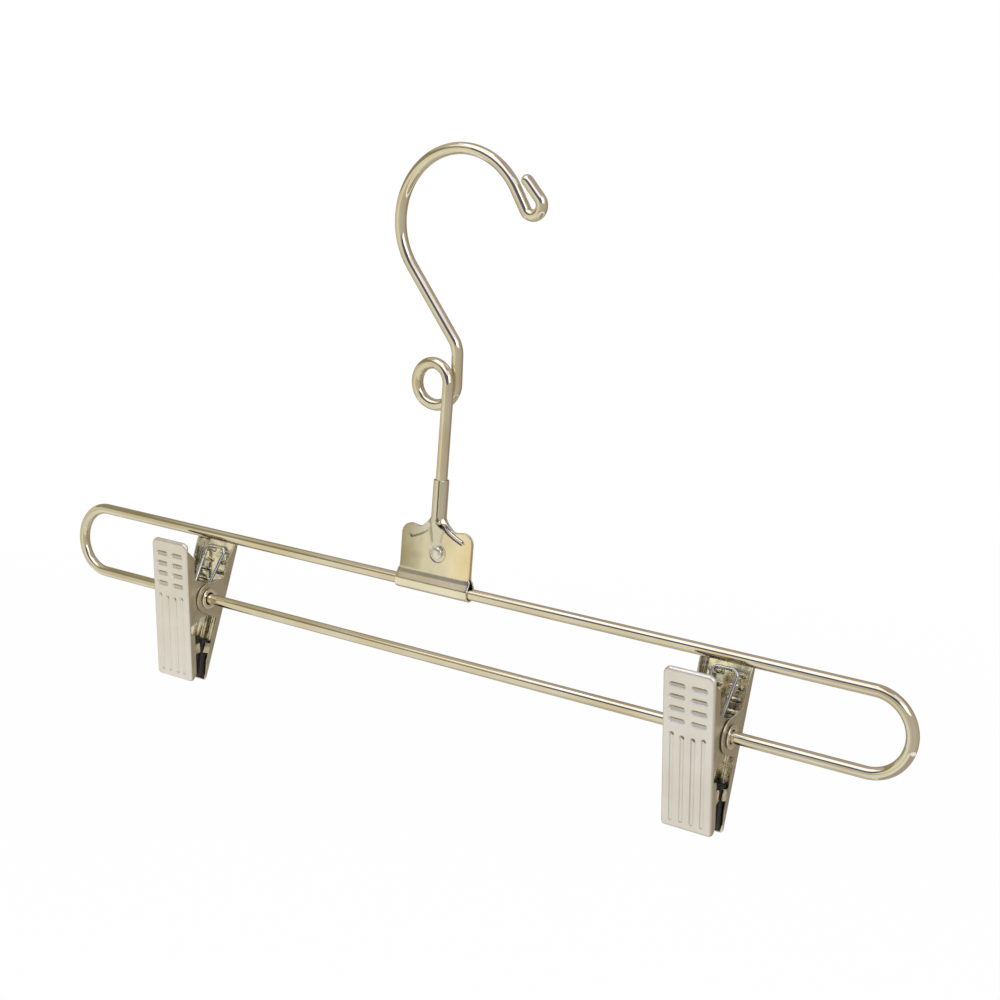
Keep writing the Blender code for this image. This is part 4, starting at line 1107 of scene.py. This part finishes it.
def ring_card(name, bearing, height, reach, finish):
    """A card bent round the part, between two bearings and two heights, in degrees, at a reach."""
    mesh = bpy.data.meshes.new(name)
    verts = []
    for i in range(CARD_STEPS + 1):
        az = math.radians(bearing[0] + (bearing[1] - bearing[0]) * i / CARD_STEPS)
        for el in height:
            up = math.radians(el)
            verts.append(MIDDLE + reach * Vector((math.sin(az) * math.cos(up), -math.cos(az) * math.cos(up),
                                                  math.sin(up))))
    faces = [(2 * i, 2 * i + 2, 2 * i + 3, 2 * i + 1) for i in range(CARD_STEPS)]
    mesh.from_pydata([tuple(v) for v in verts], [], faces)
    mesh.materials.append(finish)
    card = placed(name, mesh)
    card.visible_camera = card.visible_diffuse = card.visible_shadow = card.visible_volume_scatter = False


CARDS = (
    ("card_back", (125, 260), (-26, 33), 0.75, (0.34, 0.29, 0.22)),
    ("card_back_high", (100, 235), (33, 59), 0.75, (0.46, 0.39, 0.38)),
    ("card_right", (85, 125), (-26, 33), 0.75, (0.50, 0.44, 0.36)),
    ("card_left", (-100, -48), (-26, 14), 0.75, (0.68, 0.64, 0.52)),
    ("card_left_dim", (-125, -47), (14, 38), 0.75, (0.31, 0.28, 0.18)),
    ("card_left_high", (-125, -58), (38, 59), 0.75, (0.57, 0.52, 0.42)),
    ("card_fold", (-47, -31), (28, 41), 0.75, (0.62, 0.56, 0.46)),
    ("card_between", (-47, -31), (12, 28), 0.75, (0.27, 0.26, 0.22)),
    ("card_navy", (-31, 40), (12, 38), 0.75, (0.11, 0.12, 0.27)),
    ("card_window", (-58, 30), (41, 59), 0.75, (1.4, 1.4, 1.4)),
    ("card_window_high", (-92, 30), (59, 80), 0.75, (1.3, 1.3, 1.3)),
    ("card_ceiling", (30, 268), (59, 88), 0.75, (0.46, 0.40, 0.38)),
    ("card_middle", (-48, -12), (-26, 12), 0.75, (0.84, 0.79, 0.60)),
    ("card_front", (-12, 25), (-26, 12), 0.75, (0.58, 0.54, 0.42)),
    ("card_front_right", (25, 85), (-26, 20), 0.75, (0.52, 0.49, 0.44)),
    ("card_low", (-100, 60), (-62, -24), 0.34, (0.80, 0.78, 0.70)),
    ("card_low_back", (60, 260), (-62, -24), 0.34, (0.44, 0.39, 0.32)),
    ("card_under", (-100, 260), (-88, -62), 0.32, (0.60, 0.57, 0.50)),
)
for name, bearing, height, reach, tone in CARDS:
    ring_card(name, bearing, height, reach, glow_finish(name, tone))


def lamp(name, place, size, power, colour=(1, 1, 1)):
    """A soft square lamp that faces the part."""
    light = bpy.data.lights.new(name, "AREA")
    light.shape = "SQUARE"
    light.size = size
    light.energy = power
    light.color = colour
    held = placed(name, light)
    held.location = place
    held.rotation_euler = (MIDDLE - Vector(place)).to_track_quat("-Z", "Y").to_euler()


lamp("lamp_left", (-0.29, -0.23, 0.52), 0.22, 0.7)
lamp("lamp_right", (1.3, -0.9, 0.7), 0.9, 3.0)
lamp("lamp_top", (0.1, 0.3, 1.4), 1.0, 4.0, (0.95, 0.94, 1.0))
world = bpy.data.worlds.new("studio")
bpy.context.scene.world = world
world.use_nodes = True
nodes, links = world.node_tree.nodes, world.node_tree.links
plain = nodes["Background"]
plain.inputs["Color"].default_value = (1, 1, 1, 1)
level = add_node(nodes, "ShaderNodeMapRange", {"To Min": 0.9, "To Max": 1.0})
links.new(seen_rays(nodes, links), level.inputs["Value"])
links.new(level.outputs["Result"], plain.inputs["Strength"])
bpy.context.scene.view_settings.view_transform = "Standard"


# ----------------------------------------------------------------------
# Camera
# It looks from the front right and a little above, rolled a few degrees, from just over half a metre.
CAMERA_AZ = math.radians(31.97)
CAMERA_EL = math.radians(10.71)
CAMERA_ROLL = math.radians(4.48)
CAMERA_REACH = 0.5419
CAMERA_LENS = 56.952
CAMERA_SENSOR = 36
CAMERA_NEAR = 0.01
LOOK_AT = Vector((0.02467, 0.0, -0.11483))
back = Vector((math.sin(CAMERA_AZ) * math.cos(CAMERA_EL), -math.cos(CAMERA_AZ) * math.cos(CAMERA_EL),
               math.sin(CAMERA_EL)))
level_right = Vector((math.cos(CAMERA_AZ), math.sin(CAMERA_AZ), 0))
level_up = back.cross(level_right)
right = math.cos(CAMERA_ROLL) * level_right + math.sin(CAMERA_ROLL) * level_up
up = -math.sin(CAMERA_ROLL) * level_right + math.cos(CAMERA_ROLL) * level_up
lens = bpy.data.cameras.new("camera")
lens.sensor_width = CAMERA_SENSOR
lens.lens = CAMERA_LENS
lens.clip_start = CAMERA_NEAR
camera = placed("camera", lens)
spot = LOOK_AT + back * CAMERA_REACH
camera.matrix_world = Matrix(((right.x, up.x, back.x, spot.x), (right.y, up.y, back.y, spot.y),
                              (right.z, up.z, back.z, spot.z), (0, 0, 0, 1)))
bpy.context.scene.camera = camera
